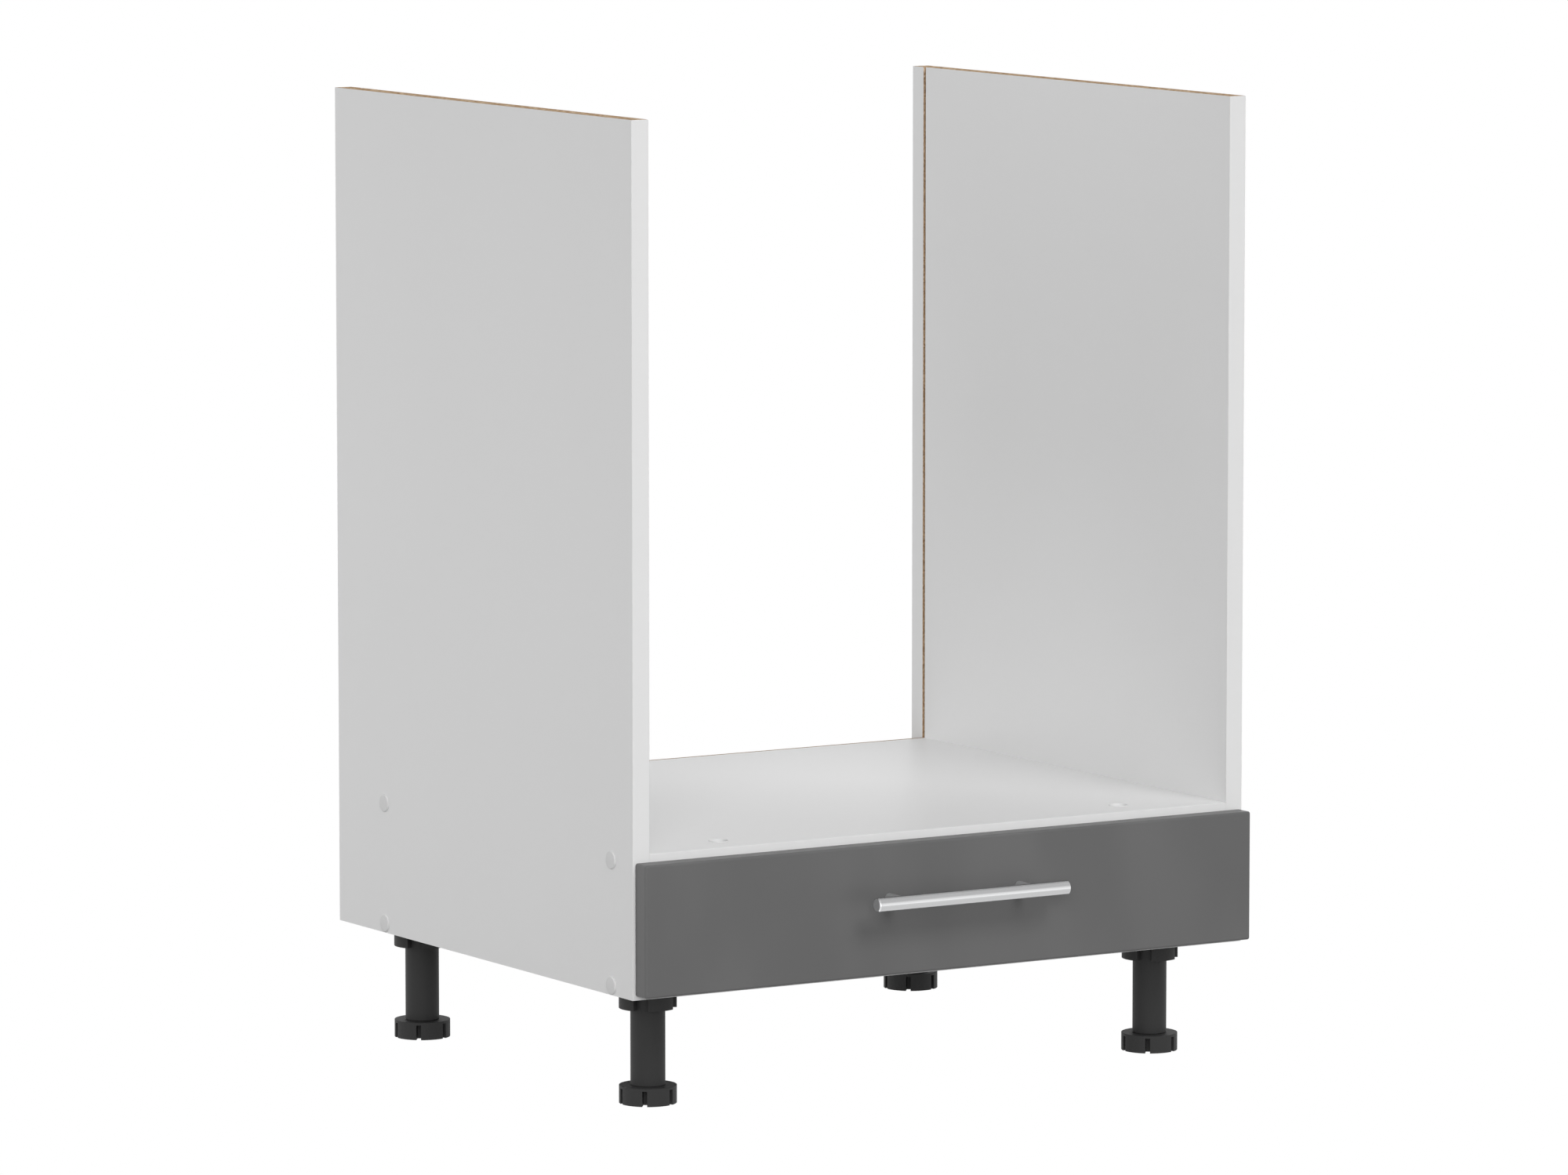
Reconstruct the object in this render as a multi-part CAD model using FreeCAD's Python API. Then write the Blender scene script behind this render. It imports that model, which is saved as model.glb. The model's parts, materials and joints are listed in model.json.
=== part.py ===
import FreeCAD, Part

import math
import os

# Low oven housing base unit: two side panels joined by an oven shelf and a bottom panel, an open niche
# for a built-in oven above the shelf, one drawer on roller runners below it, and four levelling legs.
# Millimetres. X runs across the unit, Y from front to back, Z up. The origin lies on the floor under
# the middle of the whole footprint, the handle included.

# ---- driving dimensions: carcase ----
UNIT_WIDTH = 600.0
SIDE_HEIGHT = 720.0
CARCASE_DEPTH = 500.0
BOARD = 16.0
BAY_HEIGHT = 88.0
EDGE_BAND = 0.8
GROOVE_WIDTH = 4.0
GROOVE_DEPTH = 7.0
GROOVE_SETBACK = 17.5
BACK_BOARD = 3.0

# ---- carcase fixings ----
PLAY = 0.1
FRONT_SCREW_INSET = 35.0
REAR_SCREW_INSET = 81.0
CARCASE_SCREW = {"shank": 3.5, "head": 5.0, "length": 50.0}
HEX_SOCKET_FLATS = 4.0
HEX_SOCKET_DEPTH = 3.0
HEAD_RIM = 0.3
DOWEL_RADIUS = 4.0
DOWEL_LENGTH = 30.0
DOWEL_IN_SIDE = 10.0
DOWEL_OFFSET = 64.0
CAP_RADIUS = 7.5
CAP_THICKNESS = 1.2
CAP_ROUND = 0.9
CAP_STUB_RADIUS = 1.9
CAP_STUB_LENGTH = 2.5
PLUG_INSET_X = 86.5
PLUG_INSET_Y = 35.0
PLUG_RADIUS = 8.5
PLUG_THICKNESS = 0.4
PLUG_ROUND = 0.3
PLUG_STUB_RADIUS = 8.0
PLUG_STUB_LENGTH = 11.0
PLUG_DISH_RADIUS = 7.4
PLUG_DISH_DEPTH = 2.5
BACK_SCREW_SPACING = 160.0
BACK_SCREW_COUNT = 4
BACK_SCREW = {"shank": 1.5, "head": 3.0, "head_height": 1.8, "length": 16.0}

# ---- drawer front and handle ----
FRONT_SIDE_REVEAL = 2.0
FRONT_BOTTOM_REVEAL = 3.5
FRONT_TOP_REVEAL = 6.5
FRONT_THICKNESS = 16.0
FRONT_GAP = 1.0
FRONT_ROUND = 2.0
HANDLE_OVERHANG = 30.0
HANDLE_RADIUS = 6.0
HANDLE_BEVEL = 1.0
HANDLE_STANDOFF = 28.5
HANDLE_DROP = 45.0
HANDLE_HOLE_SPACING = 128.0
POST_RADIUS = 4.0
POST_BORE_DEPTH = 14.0
HANDLE_SCREW_RADIUS = 2.0
HANDLE_SCREW_BITE = 12.0
HANDLE_SCREW_HEAD = 4.2
HANDLE_SCREW_HEAD_HEIGHT = 2.4
HANDLE_HOLE_RADIUS = 2.5

# ---- roller runners ----
RUNNER_SHORTFALL = 50.0
RUNNER_SETBACK = 3.0
RUNNER_SPACE = 12.5
RUNNER_LIFT = 10.0
RUNNER_CUTAWAY = 40.0
STEEL = 1.2
TRACK_REACH = 10.5
SLIDE_TIP = 3.0
LEDGE_DROP = 2.0
LEDGE_WIDTH = 14.0
CHANNEL_CLEARANCE = 1.0
RUN_GAP = 0.3
ROLLER_RADIUS = 10.0
ROLLER_WIDTH = 6.5
ROLLER_STEP = 0.4
ROLLER_INSET = 14.0
ROLLER_CHAMFER = 0.5
ROLLER_HUB_RADIUS = 4.2
ROLLER_RIM = 2.0
ROLLER_RECESS = 1.0
AXLE_RADIUS = 2.0
AXLE_PLAY = 0.05
AXLE_SHOULDER_RADIUS = 4.0
AXLE_SHOULDER = 1.0
AXLE_SIDE_PLAY = 0.3
AXLE_HEAD_RADIUS = 3.2
AXLE_HEAD = 0.8
RUNNER_SCREW = {"shank": 1.75, "head": 3.2, "length": 12.0}
RUNNER_SCREW_FIRST = 37.0
RUNNER_SCREW_PITCH = 32.0
RUNNER_SCREW_STEPS = (0, 7, 11)

# ---- drawer box ----
DRAWER_BOARD = 12.0
DRAWER_HEADROOM = 15.0
DRAWER_SHEET = 3.0
DRAWER_SHEET_LIFT = 10.0
DRAWER_GROOVE_DEPTH = 6.0
DRAWER_SCREW = {"shank": 1.75, "head": 3.2, "length": 30.0}
DRAWER_SCREW_EDGE = 13.0
SHEET_SCREW = {"shank": 1.5, "head": 2.8, "length": 14.0}
SHEET_SCREW_SPACING = 180.0
CAM_RADIUS = 6.0
CAM_DEPTH = 10.0
CAM_INSET = 24.0
CAM_DROP = 20.0
CAM_SLOT = 1.2
CAM_BOLT_RADIUS = 2.0
CAM_BOLT_HEAD = 3.0
CAM_BOLT_HEAD_LENGTH = 3.0
CAM_BOLT_BITE = 11.0
DRAWER_DOWEL_RADIUS = 3.0
DRAWER_DOWEL_LENGTH = 25.0
DRAWER_DOWEL_BITE = 10.0
DRAWER_DOWEL_DROP = 42.0

# ---- levelling legs ----
LEG_HEIGHT = 98.0
LEG_INSET_X = 51.0
LEG_FRONT_INSET = 63.0
LEG_REAR_INSET = 54.0
SOCKET_RADIUS = 24.0
SOCKET_HUB_RADIUS = 17.5
SOCKET_HEIGHT = 18.5
SOCKET_FLOOR = 3.0
SOCKET_LOBES = 4
SOCKET_LOBE_ANGLE = 60.0
TUBE_RADIUS = 14.5
TUBE_WALL = 2.0
NUT_LENGTH = 20.0
STEM_RADIUS = 10.0
STEM_LENGTH = 45.0
THREAD_PLAY = 0.05
FOOT_RADIUS = 24.0
FOOT_HEIGHT = 15.0
FOOT_ROUND = 0.6
FOOT_GAP = 0.2
FOOT_SLOTS = 6
FOOT_SLOT_WIDTH = 4.0
FOOT_SLOT_ROOF = 2.2
FOOT_SLOT_HUB = 14.5
FOOT_SLOT_TURN = -7.0
LEG_SCREW = {"shank": 1.75, "head": 3.2, "length": 15.0}
LEG_SCREW_CIRCLE = 19.3
LEG_SCREW_BORE = 3.6

# ---- heights that follow ----
CARCASE_UNDER = LEG_HEIGHT
CARCASE_TOP = CARCASE_UNDER + SIDE_HEIGHT
BAY_FLOOR = CARCASE_UNDER + BOARD
SHELF_UNDER = BAY_FLOOR + BAY_HEIGHT
SHELF_TOP = SHELF_UNDER + BOARD
SHELF_MIDDLE = (SHELF_UNDER + SHELF_TOP) / 2
BOTTOM_MIDDLE = (CARCASE_UNDER + BAY_FLOOR) / 2
FRONT_UNDER = CARCASE_UNDER + FRONT_BOTTOM_REVEAL
FRONT_TOP = SHELF_TOP - FRONT_TOP_REVEAL
HANDLE_Z = FRONT_TOP - HANDLE_DROP
TRACK_UNDER = BAY_FLOOR + RUNNER_LIFT
TRACK_TOP = TRACK_UNDER + STEEL
REAR_AXLE_Z = TRACK_TOP + RUN_GAP + ROLLER_RADIUS
FRONT_AXLE_Z = REAR_AXLE_Z + ROLLER_STEP
SLIDE_UNDER = FRONT_AXLE_Z + ROLLER_RADIUS + RUN_GAP
SLIDE_TOP = SLIDE_UNDER + STEEL
CHANNEL_UNDER = SLIDE_TOP + CHANNEL_CLEARANCE
CHANNEL_TOP = CHANNEL_UNDER + STEEL
LEDGE_UNDER = TRACK_UNDER - LEDGE_DROP
DRAWER_UNDER = LEDGE_UNDER + STEEL
DRAWER_TOP = SHELF_UNDER - DRAWER_HEADROOM
SHEET_UNDER = DRAWER_UNDER + DRAWER_SHEET_LIFT
SHEET_TOP = SHEET_UNDER + DRAWER_SHEET

# ---- widths that follow ----
OUTER_X = UNIT_WIDTH / 2
INNER_X = OUTER_X - BOARD
DRAWER_OUTER_X = INNER_X - RUNNER_SPACE
DRAWER_INNER_X = DRAWER_OUTER_X - DRAWER_BOARD
DRAWER_MIDDLE_X = (DRAWER_OUTER_X + DRAWER_INNER_X) / 2
FRONT_X = OUTER_X - FRONT_SIDE_REVEAL
LEG_X = OUTER_X - LEG_INSET_X
PLUG_X = INNER_X - PLUG_INSET_X
POST_X = HANDLE_HOLE_SPACING / 2
HANDLE_LENGTH = HANDLE_HOLE_SPACING + 2 * HANDLE_OVERHANG

# ---- depths that follow ----
OVERALL_DEPTH = CARCASE_DEPTH + FRONT_GAP + FRONT_THICKNESS + HANDLE_STANDOFF + HANDLE_RADIUS
BACK_Y = OVERALL_DEPTH / 2
CARCASE_FRONT_Y = BACK_Y - CARCASE_DEPTH
BOARD_FRONT_Y = CARCASE_FRONT_Y + EDGE_BAND
GROOVE_REAR_Y = BACK_Y - GROOVE_SETBACK
GROOVE_FRONT_Y = GROOVE_REAR_Y - GROOVE_WIDTH
FRONT_BACK_Y = CARCASE_FRONT_Y - FRONT_GAP
FRONT_FACE_Y = FRONT_BACK_Y - FRONT_THICKNESS
HANDLE_Y = FRONT_FACE_Y - HANDLE_STANDOFF
RUNNER_LENGTH = CARCASE_DEPTH - RUNNER_SHORTFALL
RUNNER_FRONT_Y = CARCASE_FRONT_Y + RUNNER_SETBACK
RUNNER_REAR_Y = RUNNER_FRONT_Y + RUNNER_LENGTH
DRAWER_REAR_Y = FRONT_BACK_Y + RUNNER_LENGTH
FRONT_AXLE_Y = RUNNER_FRONT_Y + ROLLER_INSET
REAR_AXLE_Y = DRAWER_REAR_Y - ROLLER_INSET
FRONT_SCREW_Y = CARCASE_FRONT_Y + FRONT_SCREW_INSET
REAR_SCREW_Y = BACK_Y - REAR_SCREW_INSET
PLUG_Y = CARCASE_FRONT_Y + PLUG_INSET_Y
LEG_YS = {"front": CARCASE_FRONT_Y + LEG_FRONT_INSET, "rear": BACK_Y - LEG_REAR_INSET}

# ---- a fastener that follows ----
LEDGE_SCREW = dict(RUNNER_SCREW, length=DRAWER_SHEET_LIFT)

V = FreeCAD.Vector
ORIGIN = V(0, 0, 0)
UP = V(0, 0, 1)
OUTWARD = V(1, 0, 0)
INWARD = V(-1, 0, 0)
FORWARD = V(0, -1, 0)
BACKWARD = V(0, 1, 0)
OVERCUT = 1.0


# ---- shape helpers ----
def box(x0, x1, y0, y1, z0, z1):
    """A block between two opposite corners."""
    return Part.makeBox(x1 - x0, y1 - y0, z1 - z0, V(x0, y0, z0))


def rod(radius, start, axis, length):
    """A round bar from a start point along an axis."""
    return Part.makeCylinder(radius, length, start, axis)


def placed(shape, start, axis):
    """A shape built along +Z at the origin, moved to start and turned so that +Z runs along axis."""
    turn = FreeCAD.Rotation(UP, axis)
    return shape.transformed(FreeCAD.Placement(start, turn).toMatrix())


def turned(profile, start, axis):
    """A lathe-turned solid: its profile is (radius, distance along the axis) points."""
    points = [V(radius, 0, along) for radius, along in profile]
    face = Part.Face(Part.makePolygon(points + points[:1]))
    return placed(face.revolve(ORIGIN, UP, 360), start, axis)


def mirrored(shape):
    """The left-hand copy of a right-hand piece."""
    return shape.mirror(ORIGIN, OUTWARD)


def both_sides(shapes):
    """The right-hand shapes and their left-hand copies."""
    return shapes + [mirrored(shape) for shape in shapes]


def save(node, *solids):
    """Write one node: a single solid, or a group of separate alike solids."""
    shape = solids[0] if len(solids) == 1 else Part.makeCompound(list(solids))
    assert shape.isValid() and shape.Volume > 0, node
    shape.exportStep(f"parts/{node}.step")


def save_pair(name, right):
    """Write a right-hand piece and its mirrored left-hand twin."""
    save(f"right_{name}", right)
    save(f"left_{name}", mirrored(right))


# ---- fasteners ----
def countersunk(start, axis, screw, play=0.0):
    """A countersunk screw from its head's face, or with play the hole that takes it."""
    shank = screw["shank"] + play
    head = screw["head"] + play
    neck = HEAD_RIM + head - shank + play
    tip = screw["length"] + play
    profile = [(0, 0), (head, 0), (head, HEAD_RIM + play), (shank, neck), (shank, tip - shank), (0, tip)]
    return turned(profile, start, axis)


def pan_head(start, axis, screw):
    """A pan-head screw; start is the face under its head and axis points along its shank."""
    shank, head, height = screw["shank"], screw["head"], screw["head_height"]
    tip = screw["length"]
    dome = height / 2
    profile = [
        (0, -height),
        (head - dome, -height),
        (head, -dome),
        (head, 0),
        (shank, 0),
        (shank, tip - shank),
        (0, tip),
    ]
    return turned(profile, start, axis)


def hex_socket(start, axis):
    """The hexagonal drive recess in a carcase screw's head."""
    corner = HEX_SOCKET_FLATS / 2 / math.cos(math.radians(30))
    angles = [math.radians(60 * k) for k in range(7)]
    outline = Part.makePolygon([V(corner * math.cos(a), corner * math.sin(a), 0) for a in angles])
    return placed(Part.Face(outline).extrude(V(0, 0, HEX_SOCKET_DEPTH)), start, axis)


def round_cap(radius, thickness, rounding, stub_radius, stub_length, start, axis):
    """A round plastic cap on a surface at start, with its stub running along axis into the piece."""
    disc = rod(radius, V(0, 0, -thickness), UP, thickness)
    rim = [edge for edge in disc.Edges if edge.BoundBox.ZMax < -thickness / 2]
    cap = disc.makeFillet(rounding, rim).fuse(rod(stub_radius, ORIGIN, UP, stub_length))
    return placed(cap.removeSplitter(), start, axis)


# ---- carcase ----
def carcase_joints():
    """Where the screws run through the right side panel: (y, z) of each."""
    return [(y, z) for z in (SHELF_MIDDLE, BOTTOM_MIDDLE) for y in (FRONT_SCREW_Y, REAR_SCREW_Y)]


def carcase_screw_holes():
    return [countersunk(V(OUTER_X, y, z), INWARD, CARCASE_SCREW, PLAY) for y, z in carcase_joints()]


def carcase_screws():
    screws = []
    for y, z in carcase_joints():
        start = V(OUTER_X, y, z)
        screws.append(countersunk(start, INWARD, CARCASE_SCREW).cut(hex_socket(start, INWARD)))
    return screws


def carcase_dowels(play=0.0):
    """The dowels between the right side panel and the two boards, or with play their bores."""
    rods = []
    for z in (SHELF_MIDDLE, BOTTOM_MIDDLE):
        for y in (FRONT_SCREW_Y + DOWEL_OFFSET, REAR_SCREW_Y - DOWEL_OFFSET):
            start = V(INNER_X + DOWEL_IN_SIDE + play, y, z)
            rods.append(rod(DOWEL_RADIUS + play, start, INWARD, DOWEL_LENGTH + 2 * play))
    return rods


def side_panel():
    """The right side panel, its top edge left raw, grooved near its rear edge from top to bottom."""
    panel = box(INNER_X, OUTER_X, BOARD_FRONT_Y, BACK_Y, CARCASE_UNDER, CARCASE_TOP)
    groove = box(
        INNER_X - OVERCUT, INNER_X + GROOVE_DEPTH, GROOVE_FRONT_Y, GROOVE_REAR_Y,
        CARCASE_UNDER - OVERCUT, CARCASE_TOP + OVERCUT,
    )
    return panel.cut([groove] + carcase_screw_holes() + carcase_dowels(PLAY) + cabinet_screws(PLAY))


def level_board(under, top):
    """A board between the side panels that stops at the groove, where the back board stands behind it."""
    board = box(-INNER_X, INNER_X, BOARD_FRONT_Y, GROOVE_FRONT_Y, under, top)
    return board.cut(both_sides(carcase_screw_holes() + carcase_dowels(PLAY)) + back_screws(PLAY))


def oven_shelf():
    bore = PLUG_STUB_RADIUS + PLAY
    depth = PLUG_STUB_LENGTH + PLAY
    holes = [rod(bore, V(x, PLUG_Y, SHELF_TOP), -UP, depth) for x in (PLUG_X, -PLUG_X)]
    return level_board(SHELF_UNDER, SHELF_TOP).cut(holes)


def shelf_plugs():
    """The two blanking plugs in the shelf, each with a round dish in its top."""
    plugs = []
    for x in (PLUG_X, -PLUG_X):
        start = V(x, PLUG_Y, SHELF_TOP)
        plug = round_cap(
            PLUG_RADIUS, PLUG_THICKNESS, PLUG_ROUND, PLUG_STUB_RADIUS, PLUG_STUB_LENGTH, start, -UP
        )
        dish_floor = start - UP * PLUG_DISH_DEPTH
        dish = rod(PLUG_DISH_RADIUS, dish_floor, UP, PLUG_DISH_DEPTH + PLUG_THICKNESS + OVERCUT)
        plugs.append(plug.cut(dish))
    return plugs


def bottom_panel():
    return level_board(CARCASE_UNDER, BAY_FLOOR).cut(leg_screws(PLAY))


def edge_band(x0, x1, under, top):
    """The thin edging strip glued to a board's front edge."""
    return box(x0, x1, CARCASE_FRONT_Y, BOARD_FRONT_Y, under, top)


def back_board():
    """The hardboard behind the drawer bay, its sides in the grooves, its faces against both boards."""
    reach = INNER_X + GROOVE_DEPTH - PLAY
    board = box(-reach, reach, GROOVE_FRONT_Y, GROOVE_FRONT_Y + BACK_BOARD, CARCASE_UNDER, SHELF_TOP)
    return board.cut(back_screws(PLAY))


def back_screws(play=0.0):
    """Screws through the back board into the rear edges of the shelf and the bottom panel."""
    screw = dict(BACK_SCREW, shank=BACK_SCREW["shank"] + play, length=BACK_SCREW["length"] + play)
    first = -BACK_SCREW_SPACING * (BACK_SCREW_COUNT - 1) / 2
    return [
        pan_head(V(first + k * BACK_SCREW_SPACING, GROOVE_FRONT_Y + BACK_BOARD, z), FORWARD, screw)
        for z in (SHELF_MIDDLE, BOTTOM_MIDDLE)
        for k in range(BACK_SCREW_COUNT)
    ]


def cover_caps():
    """The caps over the right side panel's screw heads; their stubs sit in the hexagonal sockets."""
    return [
        round_cap(
            CAP_RADIUS, CAP_THICKNESS, CAP_ROUND, CAP_STUB_RADIUS, CAP_STUB_LENGTH, V(OUTER_X, y, z), INWARD
        )
        for y, z in carcase_joints()
    ]


# ---- roller runners ----
def beside_panel(s0, s1, y0, y1, z0, z1):
    """A block in the right runner space, with s measured from the side panel towards the middle."""
    return box(INNER_X - s1, INNER_X - s0, y0, y1, z0, z1)


def axle(start, axis):
    """A rivet axle; start is on the steel's face and axis points from the steel to the roller."""
    pin_end = AXLE_SHOULDER + ROLLER_WIDTH + 2 * AXLE_SIDE_PLAY
    profile = [
        (0, -STEEL),
        (AXLE_RADIUS, -STEEL),
        (AXLE_RADIUS, 0),
        (AXLE_SHOULDER_RADIUS, 0),
        (AXLE_SHOULDER_RADIUS, AXLE_SHOULDER),
        (AXLE_RADIUS, AXLE_SHOULDER),
        (AXLE_RADIUS, pin_end),
        (AXLE_HEAD_RADIUS, pin_end),
        (AXLE_HEAD_RADIUS, pin_end + AXLE_HEAD),
        (0, pin_end + AXLE_HEAD),
    ]
    return turned(profile, start, axis)


def roller(start, axis):
    """A plastic roller on an axle that begins at start, with a shallow recess between hub and rim."""
    near = AXLE_SHOULDER + AXLE_SIDE_PLAY
    far = near + ROLLER_WIDTH
    tread = ROLLER_RADIUS - ROLLER_CHAMFER
    rim = ROLLER_RADIUS - ROLLER_RIM
    profile = [
        (AXLE_RADIUS + AXLE_PLAY, near),
        (tread, near),
        (ROLLER_RADIUS, near + ROLLER_CHAMFER),
        (ROLLER_RADIUS, far - ROLLER_CHAMFER),
        (tread, far),
        (rim, far),
        (rim, far - ROLLER_RECESS),
        (ROLLER_HUB_RADIUS, far - ROLLER_RECESS),
        (ROLLER_HUB_RADIUS, far),
        (AXLE_RADIUS + AXLE_PLAY, far),
    ]
    return turned(profile, start, axis)


FRONT_AXLE_START = V(INNER_X - STEEL, FRONT_AXLE_Y, FRONT_AXLE_Z)
REAR_AXLE_START = V(DRAWER_OUTER_X + STEEL, REAR_AXLE_Y, REAR_AXLE_Z)


def cabinet_screws(play=0.0):
    """Flush screws through the right cabinet runner into the side panel."""
    z = (TRACK_TOP + CHANNEL_UNDER) / 2
    return [
        countersunk(
            V(INNER_X - STEEL, CARCASE_FRONT_Y + RUNNER_SCREW_FIRST + step * RUNNER_SCREW_PITCH, z),
            OUTWARD, RUNNER_SCREW, play,
        )
        for step in RUNNER_SCREW_STEPS
    ]


def cabinet_runner():
    """The channel on the right side panel; its top flange is cut away in front, where the drawer goes in."""
    web = beside_panel(0, STEEL, RUNNER_FRONT_Y, RUNNER_REAR_Y, TRACK_UNDER, CHANNEL_TOP)
    track = beside_panel(0, TRACK_REACH, RUNNER_FRONT_Y, RUNNER_REAR_Y, TRACK_UNDER, TRACK_TOP)
    flange = beside_panel(
        0, TRACK_REACH, RUNNER_FRONT_Y + RUNNER_CUTAWAY, RUNNER_REAR_Y, CHANNEL_UNDER, CHANNEL_TOP
    )
    end_stop = beside_panel(0, TRACK_REACH, RUNNER_REAR_Y - STEEL, RUNNER_REAR_Y, TRACK_UNDER, CHANNEL_TOP)
    channel = web.fuse([track, flange, end_stop]).removeSplitter()
    axle_hole = rod(AXLE_RADIUS, FRONT_AXLE_START, OUTWARD, STEEL)
    return channel.cut([axle_hole] + cabinet_screws(PLAY))


def ledge_screws(play=0.0):
    """Flush screws up through the right drawer runner's ledge into the drawer side."""
    return [
        countersunk(
            V(DRAWER_MIDDLE_X, FRONT_BACK_Y + RUNNER_SCREW_FIRST + step * RUNNER_SCREW_PITCH, LEDGE_UNDER),
            UP, LEDGE_SCREW, play,
        )
        for step in RUNNER_SCREW_STEPS
    ]


def drawer_runner():
    """The right drawer runner: a ledge under the drawer side, a web, and a flange that rides the roller."""
    y0, y1 = FRONT_BACK_Y, DRAWER_REAR_Y
    web = beside_panel(RUNNER_SPACE - STEEL, RUNNER_SPACE, y0, y1, LEDGE_UNDER, SLIDE_TOP)
    slide = beside_panel(SLIDE_TIP, RUNNER_SPACE, y0, y1, SLIDE_UNDER, SLIDE_TOP)
    ledge = beside_panel(
        RUNNER_SPACE - STEEL, RUNNER_SPACE + LEDGE_WIDTH, y0, y1, LEDGE_UNDER, DRAWER_UNDER
    )
    runner = web.fuse([slide, ledge]).removeSplitter()
    axle_hole = rod(AXLE_RADIUS, REAR_AXLE_START, INWARD, STEEL)
    return runner.cut([axle_hole] + ledge_screws(PLAY))


# ---- drawer ----
def cam_bolt(play=0.0):
    """The bolt that ties the right drawer side to the front, or with play its bore."""
    length = CAM_BOLT_BITE + CAM_INSET
    shank = CAM_BOLT_RADIUS + play
    head = CAM_BOLT_HEAD + play
    neck = length - CAM_BOLT_HEAD_LENGTH - play
    end = length + play
    profile = [(0, -play), (shank, -play), (shank, neck), (head, neck), (head, end), (0, end)]
    start = V(DRAWER_MIDDLE_X, FRONT_BACK_Y - CAM_BOLT_BITE, DRAWER_TOP - CAM_DROP)
    return turned(profile, start, BACKWARD)


def cam_body(play=0.0):
    start = V(DRAWER_INNER_X, FRONT_BACK_Y + CAM_INSET, DRAWER_TOP - CAM_DROP)
    return rod(CAM_RADIUS + play, start, OUTWARD, CAM_DEPTH + play)


def cam():
    """The round cam in the right drawer side, hollow for the bolt's head, with a driver slot."""
    y = FRONT_BACK_Y + CAM_INSET
    z = DRAWER_TOP - CAM_DROP
    half, reach = CAM_SLOT / 2, CAM_RADIUS - CAM_SLOT
    slot = box(DRAWER_INNER_X, DRAWER_INNER_X + CAM_SLOT, y - reach, y + reach, z - half, z + half)
    return cam_body().cut([cam_bolt(PLAY), slot])


def cam_bolt_bore():
    """The bore in the drawer side's front end, wide enough for the bolt's head to pass."""
    start = V(DRAWER_MIDDLE_X, FRONT_BACK_Y, DRAWER_TOP - CAM_DROP)
    return rod(CAM_BOLT_HEAD + PLAY, start, BACKWARD, CAM_INSET)


def drawer_dowel(play=0.0):
    start = V(DRAWER_MIDDLE_X, FRONT_BACK_Y - DRAWER_DOWEL_BITE - play, DRAWER_TOP - DRAWER_DOWEL_DROP)
    return rod(DRAWER_DOWEL_RADIUS + play, start, BACKWARD, DRAWER_DOWEL_LENGTH + 2 * play)


def drawer_back_screws(play=0.0):
    """Screws through the right drawer side into the end of the drawer back."""
    y = DRAWER_REAR_Y - DRAWER_BOARD / 2
    return [
        countersunk(V(DRAWER_OUTER_X, y, z), INWARD, DRAWER_SCREW, play)
        for z in (SHEET_TOP + DRAWER_SCREW_EDGE, DRAWER_TOP - DRAWER_SCREW_EDGE)
    ]


def sheet_screws(play=0.0):
    """Screws up through the drawer bottom into the drawer back."""
    y = DRAWER_REAR_Y - DRAWER_BOARD / 2
    return [
        countersunk(V(x, y, SHEET_UNDER), UP, SHEET_SCREW, play)
        for x in (-SHEET_SCREW_SPACING, 0, SHEET_SCREW_SPACING)
    ]


def sheet_groove(x0, x1, y0, y1):
    """The slot that holds the drawer bottom's edge."""
    return box(x0, x1, y0, y1, SHEET_UNDER, SHEET_TOP + PLAY)


def drawer_side():
    side = box(DRAWER_INNER_X, DRAWER_OUTER_X, FRONT_BACK_Y, DRAWER_REAR_Y, DRAWER_UNDER, DRAWER_TOP)
    groove = sheet_groove(
        DRAWER_INNER_X - OVERCUT, DRAWER_INNER_X + DRAWER_GROOVE_DEPTH,
        FRONT_BACK_Y - OVERCUT, DRAWER_REAR_Y + OVERCUT,
    )
    bores = [cam_body(PLAY), cam_bolt_bore(), drawer_dowel(PLAY)]
    return side.cut([groove] + bores + ledge_screws(PLAY) + drawer_back_screws(PLAY))


def drawer_back():
    back = box(
        -DRAWER_INNER_X, DRAWER_INNER_X, DRAWER_REAR_Y - DRAWER_BOARD, DRAWER_REAR_Y, SHEET_TOP, DRAWER_TOP
    )
    return back.cut(both_sides(drawer_back_screws(PLAY)) + sheet_screws(PLAY))


def drawer_bottom():
    reach = DRAWER_INNER_X + DRAWER_GROOVE_DEPTH - PLAY
    front = FRONT_BACK_Y - DRAWER_GROOVE_DEPTH + PLAY
    return box(-reach, reach, front, DRAWER_REAR_Y, SHEET_UNDER, SHEET_TOP).cut(sheet_screws(PLAY))


def drawer_front():
    """The wrapped drawer front: its corners and all edges of its face are rounded."""
    slab = box(-FRONT_X, FRONT_X, FRONT_FACE_Y, FRONT_BACK_Y, FRONT_UNDER, FRONT_TOP)
    middle = (FRONT_FACE_Y + FRONT_BACK_Y) / 2
    soft_edges = [edge for edge in slab.Edges if edge.BoundBox.YMin < middle]
    front = slab.makeFillet(FRONT_ROUND, soft_edges)
    reach = DRAWER_INNER_X + DRAWER_GROOVE_DEPTH
    groove = sheet_groove(-reach, reach, FRONT_BACK_Y - DRAWER_GROOVE_DEPTH, FRONT_BACK_Y + OVERCUT)
    screw_holes = [
        rod(HANDLE_HOLE_RADIUS, V(x, FRONT_BACK_Y, HANDLE_Z), FORWARD, FRONT_THICKNESS)
        for x in (POST_X, -POST_X)
    ]
    return front.cut([groove] + screw_holes + both_sides([cam_bolt(PLAY), drawer_dowel(PLAY)]))


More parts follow.
